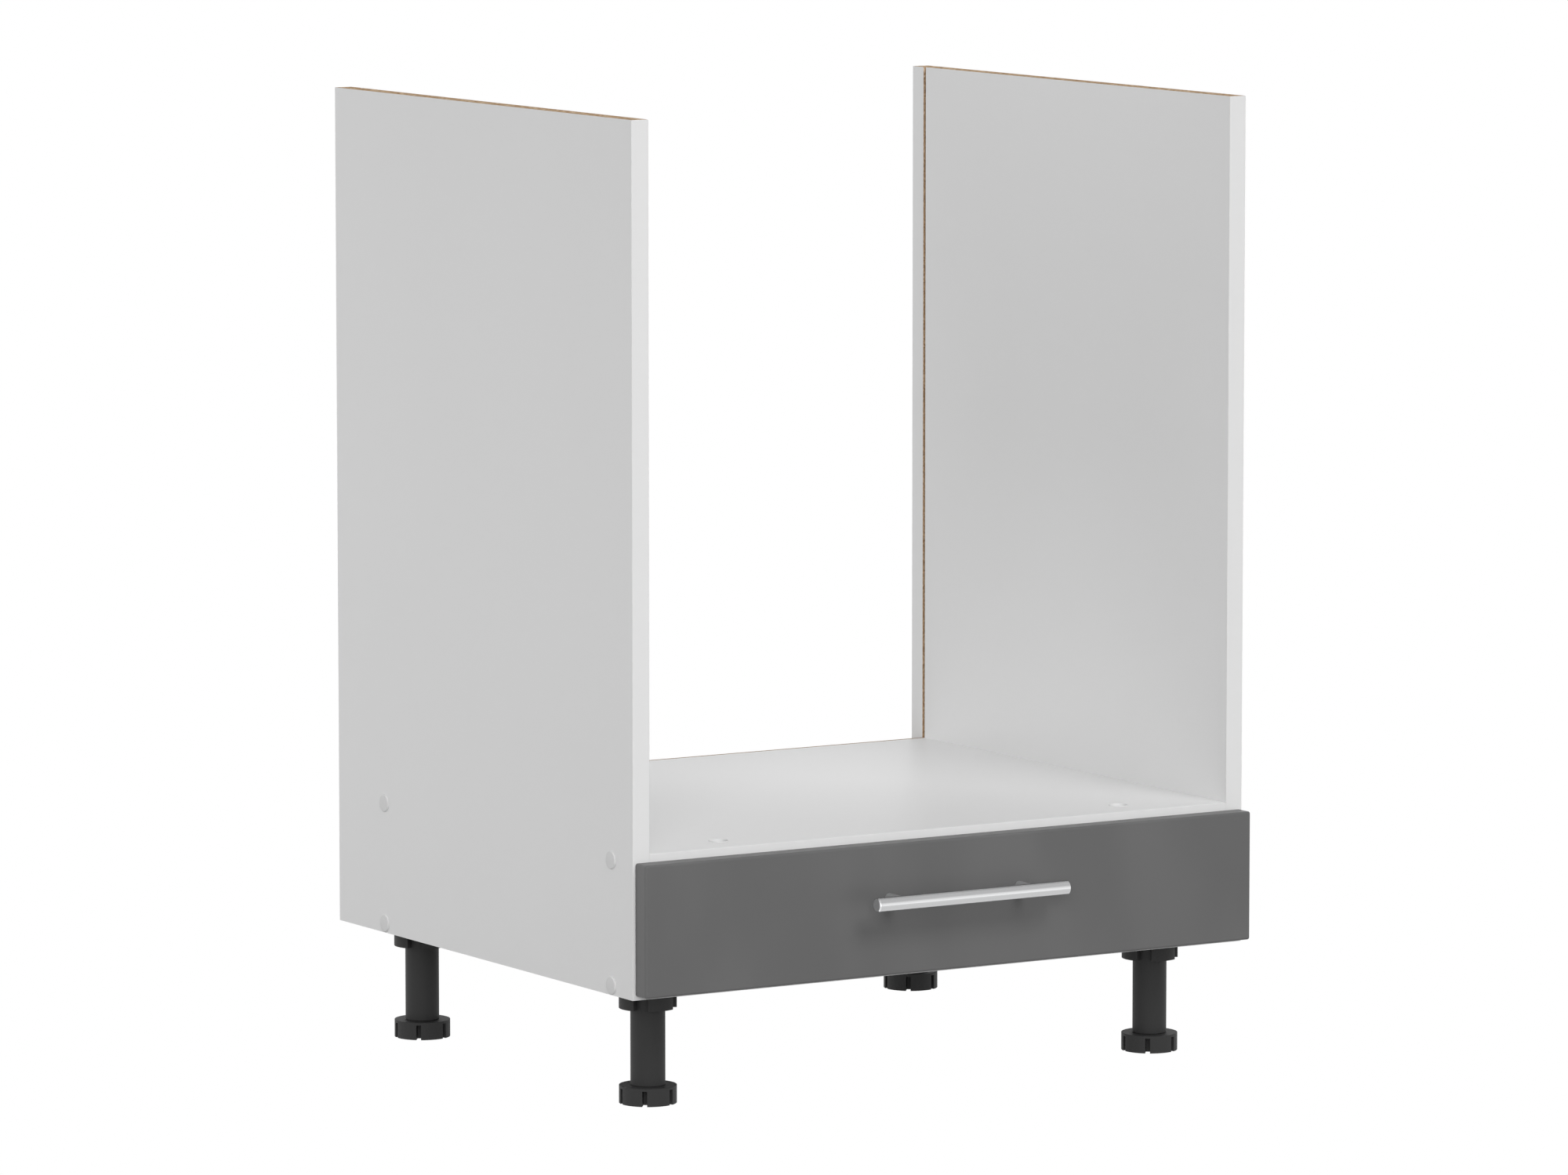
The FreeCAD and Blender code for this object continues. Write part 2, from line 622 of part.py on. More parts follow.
# ---- handle ----
def handle_bar():
    """The round bar with a bevel turned on each end."""
    inner = HANDLE_RADIUS - HANDLE_BEVEL
    profile = [
        (0, 0),
        (inner, 0),
        (HANDLE_RADIUS, HANDLE_BEVEL),
        (HANDLE_RADIUS, HANDLE_LENGTH - HANDLE_BEVEL),
        (inner, HANDLE_LENGTH),
        (0, HANDLE_LENGTH),
    ]
    return turned(profile, V(-HANDLE_LENGTH / 2, HANDLE_Y, HANDLE_Z), OUTWARD)


def handle_post():
    """The right post, hollowed at one end to seat the bar and threaded at the other."""
    start = V(POST_X, FRONT_FACE_Y, HANDLE_Z)
    post = rod(POST_RADIUS, start, FORWARD, HANDLE_STANDOFF)
    bar = rod(HANDLE_RADIUS, V(0, HANDLE_Y, HANDLE_Z), OUTWARD, HANDLE_LENGTH)
    return post.cut([bar, rod(HANDLE_SCREW_RADIUS + PLAY, start, FORWARD, POST_BORE_DEPTH)])


def handle_screw():
    screw = {
        "shank": HANDLE_SCREW_RADIUS,
        "head": HANDLE_SCREW_HEAD,
        "head_height": HANDLE_SCREW_HEAD_HEIGHT,
        "length": FRONT_THICKNESS + HANDLE_SCREW_BITE,
    }
    return pan_head(V(POST_X, FRONT_BACK_Y, HANDLE_Z), FORWARD, screw)


# ---- levelling legs ----
def leg_places():
    """(name, x, y) of each leg."""
    sides = {"left": -LEG_X, "right": LEG_X}
    return [(f"{end}_{side}", x, y) for end, y in LEG_YS.items() for side, x in sides.items()]


def lobe_points(x, y):
    """The middles of a socket's screw bores, one in each lobe."""
    angles = [math.radians(360 / SOCKET_LOBES * k) for k in range(SOCKET_LOBES)]
    return [(x + LEG_SCREW_CIRCLE * math.cos(a), y + LEG_SCREW_CIRCLE * math.sin(a)) for a in angles]


def leg_screws(play=0.0):
    """Screws up through every socket's floor into the bottom panel."""
    head_z = CARCASE_UNDER - SOCKET_FLOOR
    return [
        countersunk(V(px, py, head_z), UP, LEG_SCREW, play)
        for _, x, y in leg_places()
        for px, py in lobe_points(x, y)
    ]


def leg_socket(x, y):
    """The four-lobed socket under the bottom panel, bored for the tube and for a screw in each lobe."""
    under = CARCASE_UNDER - SOCKET_HEIGHT
    bored = SOCKET_HEIGHT - SOCKET_FLOOR
    socket = rod(SOCKET_HUB_RADIUS, V(x, y, under), UP, SOCKET_HEIGHT)
    for k in range(SOCKET_LOBES):
        lobe = Part.makeCylinder(SOCKET_RADIUS, SOCKET_HEIGHT, V(x, y, under), UP, SOCKET_LOBE_ANGLE)
        lobe.rotate(V(x, y, 0), UP, 360 / SOCKET_LOBES * k - SOCKET_LOBE_ANGLE / 2)
        socket = socket.fuse(lobe)
    cuts = [rod(TUBE_RADIUS + PLAY, V(x, y, under), UP, bored)]
    cuts += [rod(LEG_SCREW_BORE, V(px, py, under), UP, bored) for px, py in lobe_points(x, y)]
    return socket.removeSplitter().cut(cuts + leg_screws(PLAY))


def leg_tube(x, y):
    """The leg's tube, from the foot to the socket's floor, with a threaded nut section at its lower end."""
    under = FOOT_HEIGHT + FOOT_GAP
    top = CARCASE_UNDER - SOCKET_FLOOR
    nut_top = under + NUT_LENGTH
    bore = TUBE_RADIUS - TUBE_WALL
    profile = [
        (STEM_RADIUS + THREAD_PLAY, under),
        (TUBE_RADIUS, under),
        (TUBE_RADIUS, top),
        (bore, top),
        (bore, nut_top),
        (STEM_RADIUS + THREAD_PLAY, nut_top),
    ]
    return turned(profile, V(x, y, 0), UP)


def leg_foot(x, y):
    """The slotted foot and the stem that screws into the tube."""
    disc = rod(FOOT_RADIUS, ORIGIN, UP, FOOT_HEIGHT)
    disc = disc.makeFillet(FOOT_ROUND, [edge for edge in disc.Edges if edge.BoundBox.ZMin > FOOT_HEIGHT / 2])
    half = FOOT_SLOT_WIDTH / 2
    slots = []
    for k in range(FOOT_SLOTS):
        slot = box(FOOT_SLOT_HUB, FOOT_RADIUS + OVERCUT, -half, half, -OVERCUT, FOOT_HEIGHT - FOOT_SLOT_ROOF)
        slot.rotate(ORIGIN, UP, FOOT_SLOT_TURN + 360 / FOOT_SLOTS * k)
        slots.append(slot)
    stem = rod(STEM_RADIUS, V(0, 0, FOOT_HEIGHT), UP, STEM_LENGTH)
    foot = disc.cut(slots).fuse(stem).removeSplitter()
    foot.translate(V(x, y, 0))
    return foot


# ---- write every node ----
def main():
    os.makedirs("parts", exist_ok=True)

    save_pair("side_panel", side_panel())
    save_pair("side_edge_band", edge_band(INNER_X, OUTER_X, CARCASE_UNDER, CARCASE_TOP))
    save_pair("cover_caps", Part.makeCompound(cover_caps()))
    save("oven_shelf", oven_shelf())
    save("shelf_edge_band", edge_band(-INNER_X, INNER_X, SHELF_UNDER, SHELF_TOP))
    save("shelf_plugs", *shelf_plugs())
    save("bottom_panel", bottom_panel())
    save("bottom_edge_band", edge_band(-INNER_X, INNER_X, CARCASE_UNDER, BAY_FLOOR))
    save("back_board", back_board())
    save("back_board_screws", *back_screws())
    save("carcase_screws", *both_sides(carcase_screws()))
    save("carcase_dowels", *both_sides(carcase_dowels()))

    save_pair("cabinet_runner", cabinet_runner())
    save_pair("cabinet_roller", roller(FRONT_AXLE_START, INWARD))
    save("cabinet_roller_axles", *both_sides([axle(FRONT_AXLE_START, INWARD)]))
    save("cabinet_runner_screws", *both_sides(cabinet_screws()))
    save_pair("drawer_runner", drawer_runner())
    save_pair("drawer_roller", roller(REAR_AXLE_START, OUTWARD))
    save("drawer_roller_axles", *both_sides([axle(REAR_AXLE_START, OUTWARD)]))
    save("drawer_runner_screws", *both_sides(ledge_screws()))

    save("drawer_front", drawer_front())
    save_pair("drawer_side", drawer_side())
    save("drawer_back", drawer_back())
    save("drawer_bottom", drawer_bottom())
    save("drawer_cams", *both_sides([cam()]))
    save("drawer_cam_bolts", *both_sides([cam_bolt()]))
    save("drawer_dowels", *both_sides([drawer_dowel()]))
    save("drawer_back_screws", *both_sides(drawer_back_screws()))
    save("drawer_bottom_screws", *sheet_screws())
    save("handle_bar", handle_bar())
    save_pair("handle_post", handle_post())
    save("handle_screws", *both_sides([handle_screw()]))

    for name, x, y in leg_places():
        save(f"{name}_leg_socket", leg_socket(x, y))
        save(f"{name}_leg_tube", leg_tube(x, y))
        save(f"{name}_leg_foot", leg_foot(x, y))
    save("leg_screws", *leg_screws())


main()
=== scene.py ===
import json
import math

import bmesh
import bpy
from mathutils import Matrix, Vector


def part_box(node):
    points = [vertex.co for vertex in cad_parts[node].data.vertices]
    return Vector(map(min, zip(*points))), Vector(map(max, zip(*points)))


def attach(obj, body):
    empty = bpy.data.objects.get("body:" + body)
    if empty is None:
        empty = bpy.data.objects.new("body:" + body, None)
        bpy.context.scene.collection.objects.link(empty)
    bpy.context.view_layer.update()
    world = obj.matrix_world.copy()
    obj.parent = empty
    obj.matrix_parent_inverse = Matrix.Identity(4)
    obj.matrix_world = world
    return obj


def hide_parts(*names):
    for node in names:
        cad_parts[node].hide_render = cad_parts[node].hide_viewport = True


# Low oven housing base unit: white board carcase, a dark wrapped drawer front with a bar handle, and four
# black levelling legs. Metres, in the frame's own axes: +Y runs to the back and +Z up, and the unit stands
# at z = 0.

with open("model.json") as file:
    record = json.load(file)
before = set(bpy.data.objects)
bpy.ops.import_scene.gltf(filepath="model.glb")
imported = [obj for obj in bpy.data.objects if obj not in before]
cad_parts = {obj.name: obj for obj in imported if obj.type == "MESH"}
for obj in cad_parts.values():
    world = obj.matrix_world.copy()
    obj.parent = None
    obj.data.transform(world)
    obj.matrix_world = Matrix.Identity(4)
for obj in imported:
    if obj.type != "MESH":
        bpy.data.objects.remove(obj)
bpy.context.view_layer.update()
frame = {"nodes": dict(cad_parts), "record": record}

MM = 0.001
SIDES = ("left", "right")
LEGS = ("front_left", "front_right", "rear_left", "rear_right")

# ---- camera, studio and lamps ----
LENS = 203.74
SENSOR = 36.0
CAMERA_PLACE = Vector((-3.9241, -6.3948, 1.2892))
CAMERA_HEADING = math.radians(31.413)
CAMERA_TILT = math.radians(6.783)

WORLD_LEVEL = 0.2                    # light from all round
STUDIO_GREY = 0.9                    # what glossy surfaces mirror
STUDIO_BAND = 0.6                    # and how much brighter it is near the horizon
BAND_HEIGHTS = (0.25, 0.5)           # upward parts of a unit direction, between which that band fades out
PAINTED_SHADE_REACHES = (0.7, 1.6)            # distances on the floor, between which it fades in; nearer, reflections see a painted shade of the unit
FLOOR_SIZE = 12.0
FLOOR_TONE = 0.3
FLOOR_DROP = 20.5 * MM               # below the feet even when they are screwed right out

UNIT_MIDDLE = (0.0, 0.0, 0.42)
INNER_SIDE = (0.28, 0.1, 0.35)
LAMPS = (                            # name, place, what it points at, width, watts
    ("key", (4.454, -11.024, 11.126), UNIT_MIDDLE, 5.2, 300.0),
    ("front", (0.428, -12.249, 11.125), UNIT_MIDDLE, 4.5, 620.0),
    ("fill", (-7.727, -13.384, 4.561), UNIT_MIDDLE, 8.0, 1330.0),
    ("top", (0.0, -8.0, 14.276), UNIT_MIDDLE, 8.0, 380.0),
    ("side", (-15.455, 0.0, 4.561), UNIT_MIDDLE, 8.0, 280.0),
    ("rim", (-8.667, 8.667, 10.705), UNIT_MIDDLE, 8.0, 440.0),
    ("low", (-1.6, 1.6, 0.2), INNER_SIDE, 0.8, 4.5),
)

# ---- places read from the frame ----
SIDE_LOW, SIDE_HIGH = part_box("right_side_panel")
INNER_X, OUTER_X = SIDE_LOW.x, SIDE_HIGH.x
SHELF_LOW, SHELF_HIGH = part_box("oven_shelf")
BOTTOM_LOW, BOTTOM_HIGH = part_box("bottom_panel")
BACK_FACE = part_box("back_board")[0].y
DRAWER_SIDE_LOW, DRAWER_SIDE_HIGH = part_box("right_drawer_side")
DRAWER_BACK_LOW, DRAWER_BACK_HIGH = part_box("drawer_back")
SHEET_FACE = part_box("drawer_bottom")[1].z
BAR_LOW, BAR_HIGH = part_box("handle_bar")
BAR_MIDDLE = (BAR_LOW + BAR_HIGH) / 2
BAR_RADIUS = (BAR_HIGH.z - BAR_LOW.z) / 2
FOOT_LOW, FOOT_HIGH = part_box("front_left_leg_foot")

# ---- sizes of the finer detail ----
FOOT_HEIGHT = 15 * MM                # of the disc
STEM_RADIUS = 10 * MM                # to the thread's crest
STEM_CORE = 8.8 * MM
THREAD_PITCH = 3 * MM
THREAD_MARGIN = 1.5 * MM             # of plain stem at each end of the thread
THREAD_FOOT = 0.62 * THREAD_PITCH    # widths of the ridge at the core and at the crest
THREAD_CREST = 0.22 * THREAD_PITCH
OVERLAP = 1 * MM                     # by which a cutting or joined shape runs on past a surface
SUNK = 0.1 * MM                      # by which the ridge starts inside the core

SCREW_PITCH = 1.2 * MM
SCREW_LEAD = 0.5 * MM                # of plain shank below the head
HEAD_EDGE = 0.3 * MM                 # upright rim of a countersunk head
HEAD_CHAMFER = 0.1 * MM
SCREW_CORE = 0.7                     # shares of the shank's radius
SCREW_NECK = 0.8
CROSS = (1.05, 0.26, 0.55)           # driver cross: length, width and depth as shares of the head's radius
DOME = (0.45, 0.75)                  # rounding of a pan head, as shares of its radius and its height
SCREW_SIDES = 20
CAP_SIDES = 48
SPIN_SEED = 7

DOWEL_FLUTES = 14
FLUTE_DEPTH = 0.35 * MM
DOWEL_CHAMFER = 1.0 * MM

BAR_BEVEL = 1.0 * MM
TURNING_PITCH = 0.25 * MM            # of the rings that turning leaves on the bar's end faces
FACE_SLACK = 0.05 * MM               # by which a surface counts as lying on a plane

MERGED_WITHIN = 0.002 * MM           # of a solid's mesh, before it is worked on
FLAT_ANGLE = math.radians(0.5)       # faces that turn by less than this are one flat face
SHARP_ANGLE = math.radians(35)       # edges sharper than this are rounded
CREASE_ANGLE = math.radians(30)      # edges sharper than this stay creased in smooth shading


# ---- node graphs ----
class Field:
    """One output of a node. Arithmetic on it adds Math nodes to its graph."""

    def __init__(self, graph, socket):
        self.graph = graph
        self.socket = socket

    def __add__(self, other):
        return self.graph.maths("ADD", self, other)

    def __radd__(self, other):
        return self.graph.maths("ADD", other, self)

    def __sub__(self, other):
        return self.graph.maths("SUBTRACT", self, other)

    def __rsub__(self, other):
        return self.graph.maths("SUBTRACT", other, self)

    def __mul__(self, other):
        return self.graph.maths("MULTIPLY", self, other)

    def __rmul__(self, other):
        return self.graph.maths("MULTIPLY", other, self)

    def __truediv__(self, other):
        return self.graph.maths("DIVIDE", self, other)

    def __rtruediv__(self, other):
        return self.graph.maths("DIVIDE", other, self)

    def __pow__(self, other):
        return self.graph.maths("POWER", self, other)

    def __abs__(self):
        return self.graph.maths("ABSOLUTE", self, 0.0)

    def __lt__(self, other):
        return self.graph.maths("LESS_THAN", self, other)

    def __gt__(self, other):
        return self.graph.maths("GREATER_THAN", self, other)


class Graph:
    """A node tree under construction: node() adds any node, and Field arithmetic adds the rest."""

    def __init__(self, tree):
        self.tree = tree
        tree.nodes.clear()

    def node(self, kind, settings=None, inputs=None, out=0):
        """Adds a node, sets it up, then fills or links its inputs, and returns one of its outputs."""
        made = self.tree.nodes.new(kind)
        for key, value in (settings or {}).items():
            if key == "stops":
                set_stops(made.color_ramp, value)
            else:
                setattr(made, key, value)
        for key, value in (inputs or {}).items():
            for one in value if isinstance(value, list) else [value]:
                if isinstance(one, Field):
                    self.tree.links.new(one.socket, made.inputs[key])
                else:
                    made.inputs[key].default_value = one
        return Field(self, made.outputs[out]) if made.outputs else made

    def maths(self, operation, first, second):
        return self.node("ShaderNodeMath", {"operation": operation}, {0: first, 1: second})

    def higher(self, first, second):
        return self.maths("MAXIMUM", first, second)

    def lower(self, first, second):
        return self.maths("MINIMUM", first, second)

    def eased(self, value, start, end):
        """0 at start, 1 at end, with a smooth passage."""
        settings = {"interpolation_type": "SMOOTHSTEP"}
        return self.node("ShaderNodeMapRange", settings, {"Value": value, 1: start, 2: end})


def set_stops(ramp, stops):
    """Puts (place, colour) stops on a colour ramp."""
    while len(ramp.elements) < len(stops):
        ramp.elements.new(0.5)
    for element, (place, colour) in zip(ramp.elements, stops):
        element.position = place
        element.color = (*colour, 1.0)


class Finish(Graph):
    """The surface of a material: patterns on Object coordinates that end in one shader."""

    def __init__(self, name):
        self.material = bpy.data.materials.new(name)
        self.material.use_nodes = True
        super().__init__(self.material.node_tree)
        self.place = self.node("ShaderNodeTexCoord", out=3)

    def along(self, axis):
        """The coordinate along X, Y or Z."""
        return self.node("ShaderNodeSeparateXYZ", None, {0: self.place}, "XYZ".index(axis))

    def stretched(self, scale):
        """The coordinates, each multiplied: a low number draws the pattern out that way."""
        return self.node("ShaderNodeVectorMath", {"operation": "MULTIPLY"}, {0: self.place, 1: scale})

    def noise(self, scale, detail=2.0, rough=0.5, vector=None):
        inputs = {"Vector": vector or self.place, "Scale": scale, "Detail": detail, "Roughness": rough}
        return self.node("ShaderNodeTexNoise", None, inputs)

    def cells(self, scale, vector=None, feature="F1", out=0):
        inputs = {"Vector": vector or self.place, "Scale": scale}
        return self.node("ShaderNodeTexVoronoi", {"feature": feature}, inputs, out)

    def mixed(self, share, first, second):
        """A colour between two: share 0 gives the first and 1 the second."""
        first, second = (c if isinstance(c, Field) else (*c, 1.0) for c in (first, second))
        return self.node("ShaderNodeMix", {"data_type": "RGBA"}, {0: share, 6: first, 7: second}, 2)

    def grey(self, value, tint=(1.0, 1.0, 1.0)):
        """A colour whose brightness is a value that varies."""
        return self.node("ShaderNodeCombineColor", None, {k: value * c for k, c in enumerate(tint)})

    def ramp(self, value, stops):
        return self.node("ShaderNodeValToRGB", {"stops": stops}, {0: value})

    def bumps(self, height, depth, strength):
        """A normal for relief of that depth in metres."""
        return self.node("ShaderNodeBump", None, {"Height": height, "Distance": depth, "Strength": strength})

    def shade(self, **inputs):
        """Ends the material in a Principled shader; names are its sockets' with _ for a space."""
        named = {key.replace("_", " "): value for key, value in inputs.items()}
        shader = self.node("ShaderNodeBsdfPrincipled", None, named)
        self.node("ShaderNodeOutputMaterial", None, {"Surface": shader})
        return self.material


class Shape(Graph):
    """A Geometry Nodes tree under construction. Its named inputs are the sizes that a piece is made with."""

    KINDS = {float: "Float", int: "Int", bpy.types.Object: "Object"}

    def __init__(self, name, sizes):
        super().__init__(bpy.data.node_groups.new(name, "GeometryNodeTree"))
        self.sizes = sizes
        self.add_socket("Base", "INPUT", "Geometry")
        for label, value in sizes.items():
            self.add_socket(label, "INPUT", self.KINDS[type(value)])
        self.add_socket("Made", "OUTPUT", "Geometry")
        self.entry = self.tree.nodes.new("NodeGroupInput")

    def add_socket(self, label, way, kind):
        self.tree.interface.new_socket(label, in_out=way, socket_type="NodeSocket" + kind)

    def size(self, label):
        return Field(self, self.entry.outputs[label])

    def vector(self, x=0.0, y=0.0, z=0.0):
        return self.node("ShaderNodeCombineXYZ", None, {0: x, 1: y, 2: z})

    def moved(self, geometry, place, turn=(0.0, 0.0, 0.0)):
        inputs = {"Geometry": geometry, "Translation": place, "Rotation": turn}
        return self.node("GeometryNodeTransform", None, inputs)

    def block(self, x, y, z):
        return self.node("GeometryNodeMeshCube", None, {"Size": self.vector(x, y, z)})

    def cut(self, body, *tools):
        settings = {"operation": "DIFFERENCE", "solver": "EXACT"}
        return self.node("GeometryNodeMeshBoolean", settings, {"Mesh 1": body, "Mesh 2": list(tools)})

    def end(self, geometry, material):
        whole = self.node("GeometryNodeRealizeInstances", None, {0: geometry})
        dressed = self.node("GeometryNodeSetMaterial", None, {"Geometry": whole, "Material": material})
        self.node("NodeGroupOutput", None, {0: dressed})

    def make(self, name, base=None):
        """An object whose live modifier holds this tree, with its sizes set by name."""
        made = piece(name, base or bpy.data.meshes.new(name))
        modifier = made.modifiers.new("shape", "NODES")
        modifier.node_group = self.tree
        for item in self.tree.interface.items_tree:
            if item.in_out == "INPUT" and item.name in self.sizes:
                modifier[item.identifier] = self.sizes[item.name]
        return made


# ---- board finishes ----
WHITE = 0.75
SKIN = 0.15 * MM                     # depth to which a surface counts as a board's white face
FIBRE_STOPS = ((0.25, (0.16, 0.085, 0.035)), (0.75, (0.4, 0.245, 0.12)))
BEECH_STOPS = ((0.3, (0.5, 0.31, 0.17)), (0.7, (0.68, 0.47, 0.29)))
# colour of the sunken gaps between chips: painted shade
PAINTED_GAP_SHADE = (0.13, 0.075, 0.035)
CORE_STOPS = (
    (0.0, (0.24, 0.14, 0.07)),
    (0.35, (0.47, 0.31, 0.18)),
    (0.7, (0.62, 0.44, 0.28)),
    (1.0, (0.76, 0.6, 0.43)),
)


def melamine(paint):
    """Colour, roughness and grain of the white skin: a faint cloud and a fine pearl grain."""
    cloud = paint.noise(6.0, 3.0)
    grain = paint.noise(1500.0, 2.0, 0.6)
    colour = paint.grey(WHITE * (0.982 + 0.02 * cloud + 0.016 * grain))
    return colour, 0.36 + 0.12 * grain, grain


def chip_core(paint, axis, low, high):
    """Colour and relief of raw chipboard: coarse chips in the middle of the board, fine ones outside, with
    painted shade in the sunken gaps between them.
    """
    thickness = high - low
    across = abs(paint.along(axis))
    depth = paint.lower(across - low, high - across) / thickness
    coarse = paint.eased(depth, 0.14, 0.22)
    flat = paint.stretched(tuple(2.6 if name == axis else 1.0 for name in "XYZ"))
    chips = paint.cells(260.0, flat, out=1)
    dust = paint.cells(900.0, flat, out=1)
    pick = paint.node("ShaderNodeMix", {"data_type": "RGBA"}, {0: coarse, 6: dust, 7: chips}, 2)
    tone = paint.node("ShaderNodeSeparateColor", None, {0: pick})
    pores = paint.noise(700.0, 3.0, 0.7, flat)
    # the gaps between chips take the painted shade colour
    shade = paint.eased(pores, 0.3, 0.46)
    colour = paint.mixed(shade, PAINTED_GAP_SHADE, paint.ramp(tone, CORE_STOPS))
    return colour, tone * 0.5 + shade


def board(name, axis, low, high, foil=None):
    """Board with white faces at low and high along an axis and raw chipboard on its other surfaces.

    foil is an (axis, place) pair for one edge that is covered with white foil too."""
    paint = Finish(name)
    across = abs(paint.along(axis))
    skin = paint.higher(abs(across - low) < SKIN, abs(across - high) < SKIN)
    if foil:
        skin = paint.higher(skin, abs(paint.along(foil[0]) - foil[1]) < SKIN)
    white, sheen, grain = melamine(paint)
    core, chips = chip_core(paint, axis, low, high)
    pearl = paint.bumps(grain, 0.02 * MM, 0.35)
    crumble = paint.bumps(chips, 0.35 * MM, 0.8)
    normal = paint.node("ShaderNodeMix", {"data_type": "VECTOR"}, {0: skin, 4: crumble, 5: pearl}, 1)
    return paint.shade(
        Base_Color=paint.mixed(skin, core, white),
        Roughness=sheen * skin + 0.9 * (1 - skin),
        Specular_IOR_Level=0.3,
        Normal=normal,
    )


def edging(name):
    """White edging strip: smooth, with the faint lengthwise chatter of the trimming cutter."""
    paint = Finish(name)
    chatter = paint.noise(60.0, 2.0, 0.5, paint.stretched((1.0, 1.0, 6.0)))
    grain = paint.noise(1800.0, 1.0)
    return paint.shade(
        Base_Color=paint.grey(WHITE * (0.958 + 0.012 * chatter + 0.008 * grain)),
        Roughness=0.32 + 0.1 * chatter,
        Normal=paint.bumps(grain, 0.012 * MM, 0.3),
    )


def hardboard(name, axis, white_face):
    """Thin fibre board: one lacquered white face, brown felted fibre on the other and on its edges."""
    paint = Finish(name)
    skin = abs(paint.along(axis) - white_face) < SKIN
    felt = paint.noise(90.0, 8.0, 0.75)
    fibre = paint.noise(900.0, 4.0, 0.7, paint.stretched((1.0, 0.35, 1.0)))
    brown = paint.ramp(felt * 0.5 + fibre * 0.5, FIBRE_STOPS)
    white = paint.grey(0.7 + 0.03 * felt)
    return paint.shade(
        Base_Color=paint.mixed(skin, brown, white),
        Roughness=0.42 * skin + 0.85 * (1 - skin),
        Normal=paint.bumps(fibre * (1 - 0.8 * skin), 0.08 * MM, 0.6),
    )


def dowel_wood(name):
    """Beech: a soft grain in thin layers, and short dark flecks that run across the unit or front to back."""
    paint = Finish(name)
    grain = paint.noise(55.0, 5.0, 0.6, paint.stretched((0.3, 0.3, 5.0)))
    flecks = paint.eased(paint.noise(420.0, 1.0, 0.5, paint.stretched((0.35, 0.35, 1.0))), 0.62, 0.7)
    return paint.shade(
        Base_Color=paint.mixed(flecks, paint.ramp(grain, BEECH_STOPS), (0.3, 0.16, 0.08)),
        Roughness=0.6 + 0.15 * grain,
        Normal=paint.bumps(grain, 0.1 * MM, 0.4),
    )


# ---- metal finishes ----
def zinc(name):
    """Bright zinc: small spangles that differ a little in tone and gloss."""
    paint = Finish(name)
    spangle = paint.node("ShaderNodeSeparateColor", None, {0: paint.cells(1400.0, out=1)})
    film = paint.noise(240.0, 3.0)
    return paint.shade(
        Base_Color=paint.grey(0.56 + 0.08 * spangle + 0.06 * film, (0.98, 1.0, 1.03)),
        Metallic=1.0,
        Roughness=0.24 + 0.14 * spangle + 0.08 * film,
        Normal=paint.bumps(spangle, 0.01 * MM, 0.4),
    )


def powder_coat(name):
    """White powder coat on steel, with its fine orange-peel skin."""
    paint = Finish(name)
    peel = paint.cells(750.0, feature="SMOOTH_F1")
    cloud = paint.noise(20.0, 3.0)
    return paint.shade(
        Base_Color=paint.grey(0.7 + 0.03 * cloud),
        Roughness=0.34 + 0.1 * cloud,
        Normal=paint.bumps(peel, 0.05 * MM, 0.5),
    )


def handle_steel(name):
    """Satin bar: fine brushing along its length, turned bevels that are glossier and carry a painted
    highlight in their colour, and duller end faces and posts.
    """
    paint = Finish(name)
    from_end = BAR_HIGH.x - abs(paint.along("X"))
    strokes = paint.noise(900.0, 3.0, 0.6, paint.stretched((0.012, 1.0, 1.0)))
    broad = paint.noise(60.0, 2.0, 0.5, paint.stretched((0.1, 1.0, 1.0)))
    across = paint.along("Y") - BAR_MIDDLE.y
    height = paint.along("Z") - BAR_MIDDLE.z
    radius = (across * across + height * height) ** 0.5
    ends = from_end < FACE_SLACK
    bevel = (from_end < BAR_BEVEL + FACE_SLACK) * (1 - ends)
    rings = paint.maths("SINE", radius * (2 * math.pi / TURNING_PITCH), 0.0) * 0.5 + 0.5
    relief = strokes * (1 - ends) + rings * ends
    posts = radius > BAR_RADIUS + 2 * FACE_SLACK
    dull = paint.higher(ends, posts)
    # 0.2 * bevel lightens the rims at the bar's ends: a painted highlight
    tone = 0.6 + 0.05 * strokes + 0.04 * broad - 0.06 * dull + 0.2 * bevel
    return paint.shade(
        Base_Color=paint.grey(tone, (0.995, 1.0, 1.01)),
        Metallic=1.0 - 0.3 * dull,
        Roughness=0.17 + 0.1 * strokes + 0.15 * dull - 0.06 * bevel,
        Normal=paint.bumps(relief, 0.006 * MM, 0.35),
    )


# ---- plastic and film finishes ----
def wrapped_film(name):
    """Anthracite film pressed round the front: a very fine grain, and a soft, slightly uneven sheen: a
    painted sheen of brighter cloud patches in the colour, with gloss that varies by the same cloud.
    """
    paint = Finish(name)
    grain = paint.noise(2200.0, 2.0, 0.6)
    cloud = paint.eased(paint.noise(11.0, 2.0, 0.4, paint.stretched((1.0, 1.0, 0.5))), 0.35, 0.65)
    return paint.shade(
        # painted sheen: the cloud lightens the colour in patches
        Base_Color=paint.grey(0.105 + 0.016 * cloud + 0.006 * grain),
        Roughness=0.38 + 0.05 * cloud + 0.05 * grain,
        Specular_IOR_Level=0.35,
        Normal=paint.bumps(grain, 0.02 * MM, 0.3),
    )


def moulded(name, tone, tint, roughness, grain_depth, specular):
    """Moulded plastic: a spark-eroded grain and faint flow clouds."""
    paint = Finish(name)
    grain = paint.noise(1300.0, 3.0, 0.6)
    flow = paint.noise(45.0, 3.0)
    return paint.shade(
        Base_Color=paint.grey(tone * (0.92 + 0.1 * flow + 0.06 * grain), tint),
        Roughness=roughness + 0.08 * grain + 0.06 * flow,
        Specular_IOR_Level=specular,
        Normal=paint.bumps(grain, grain_depth, 0.5),
    )


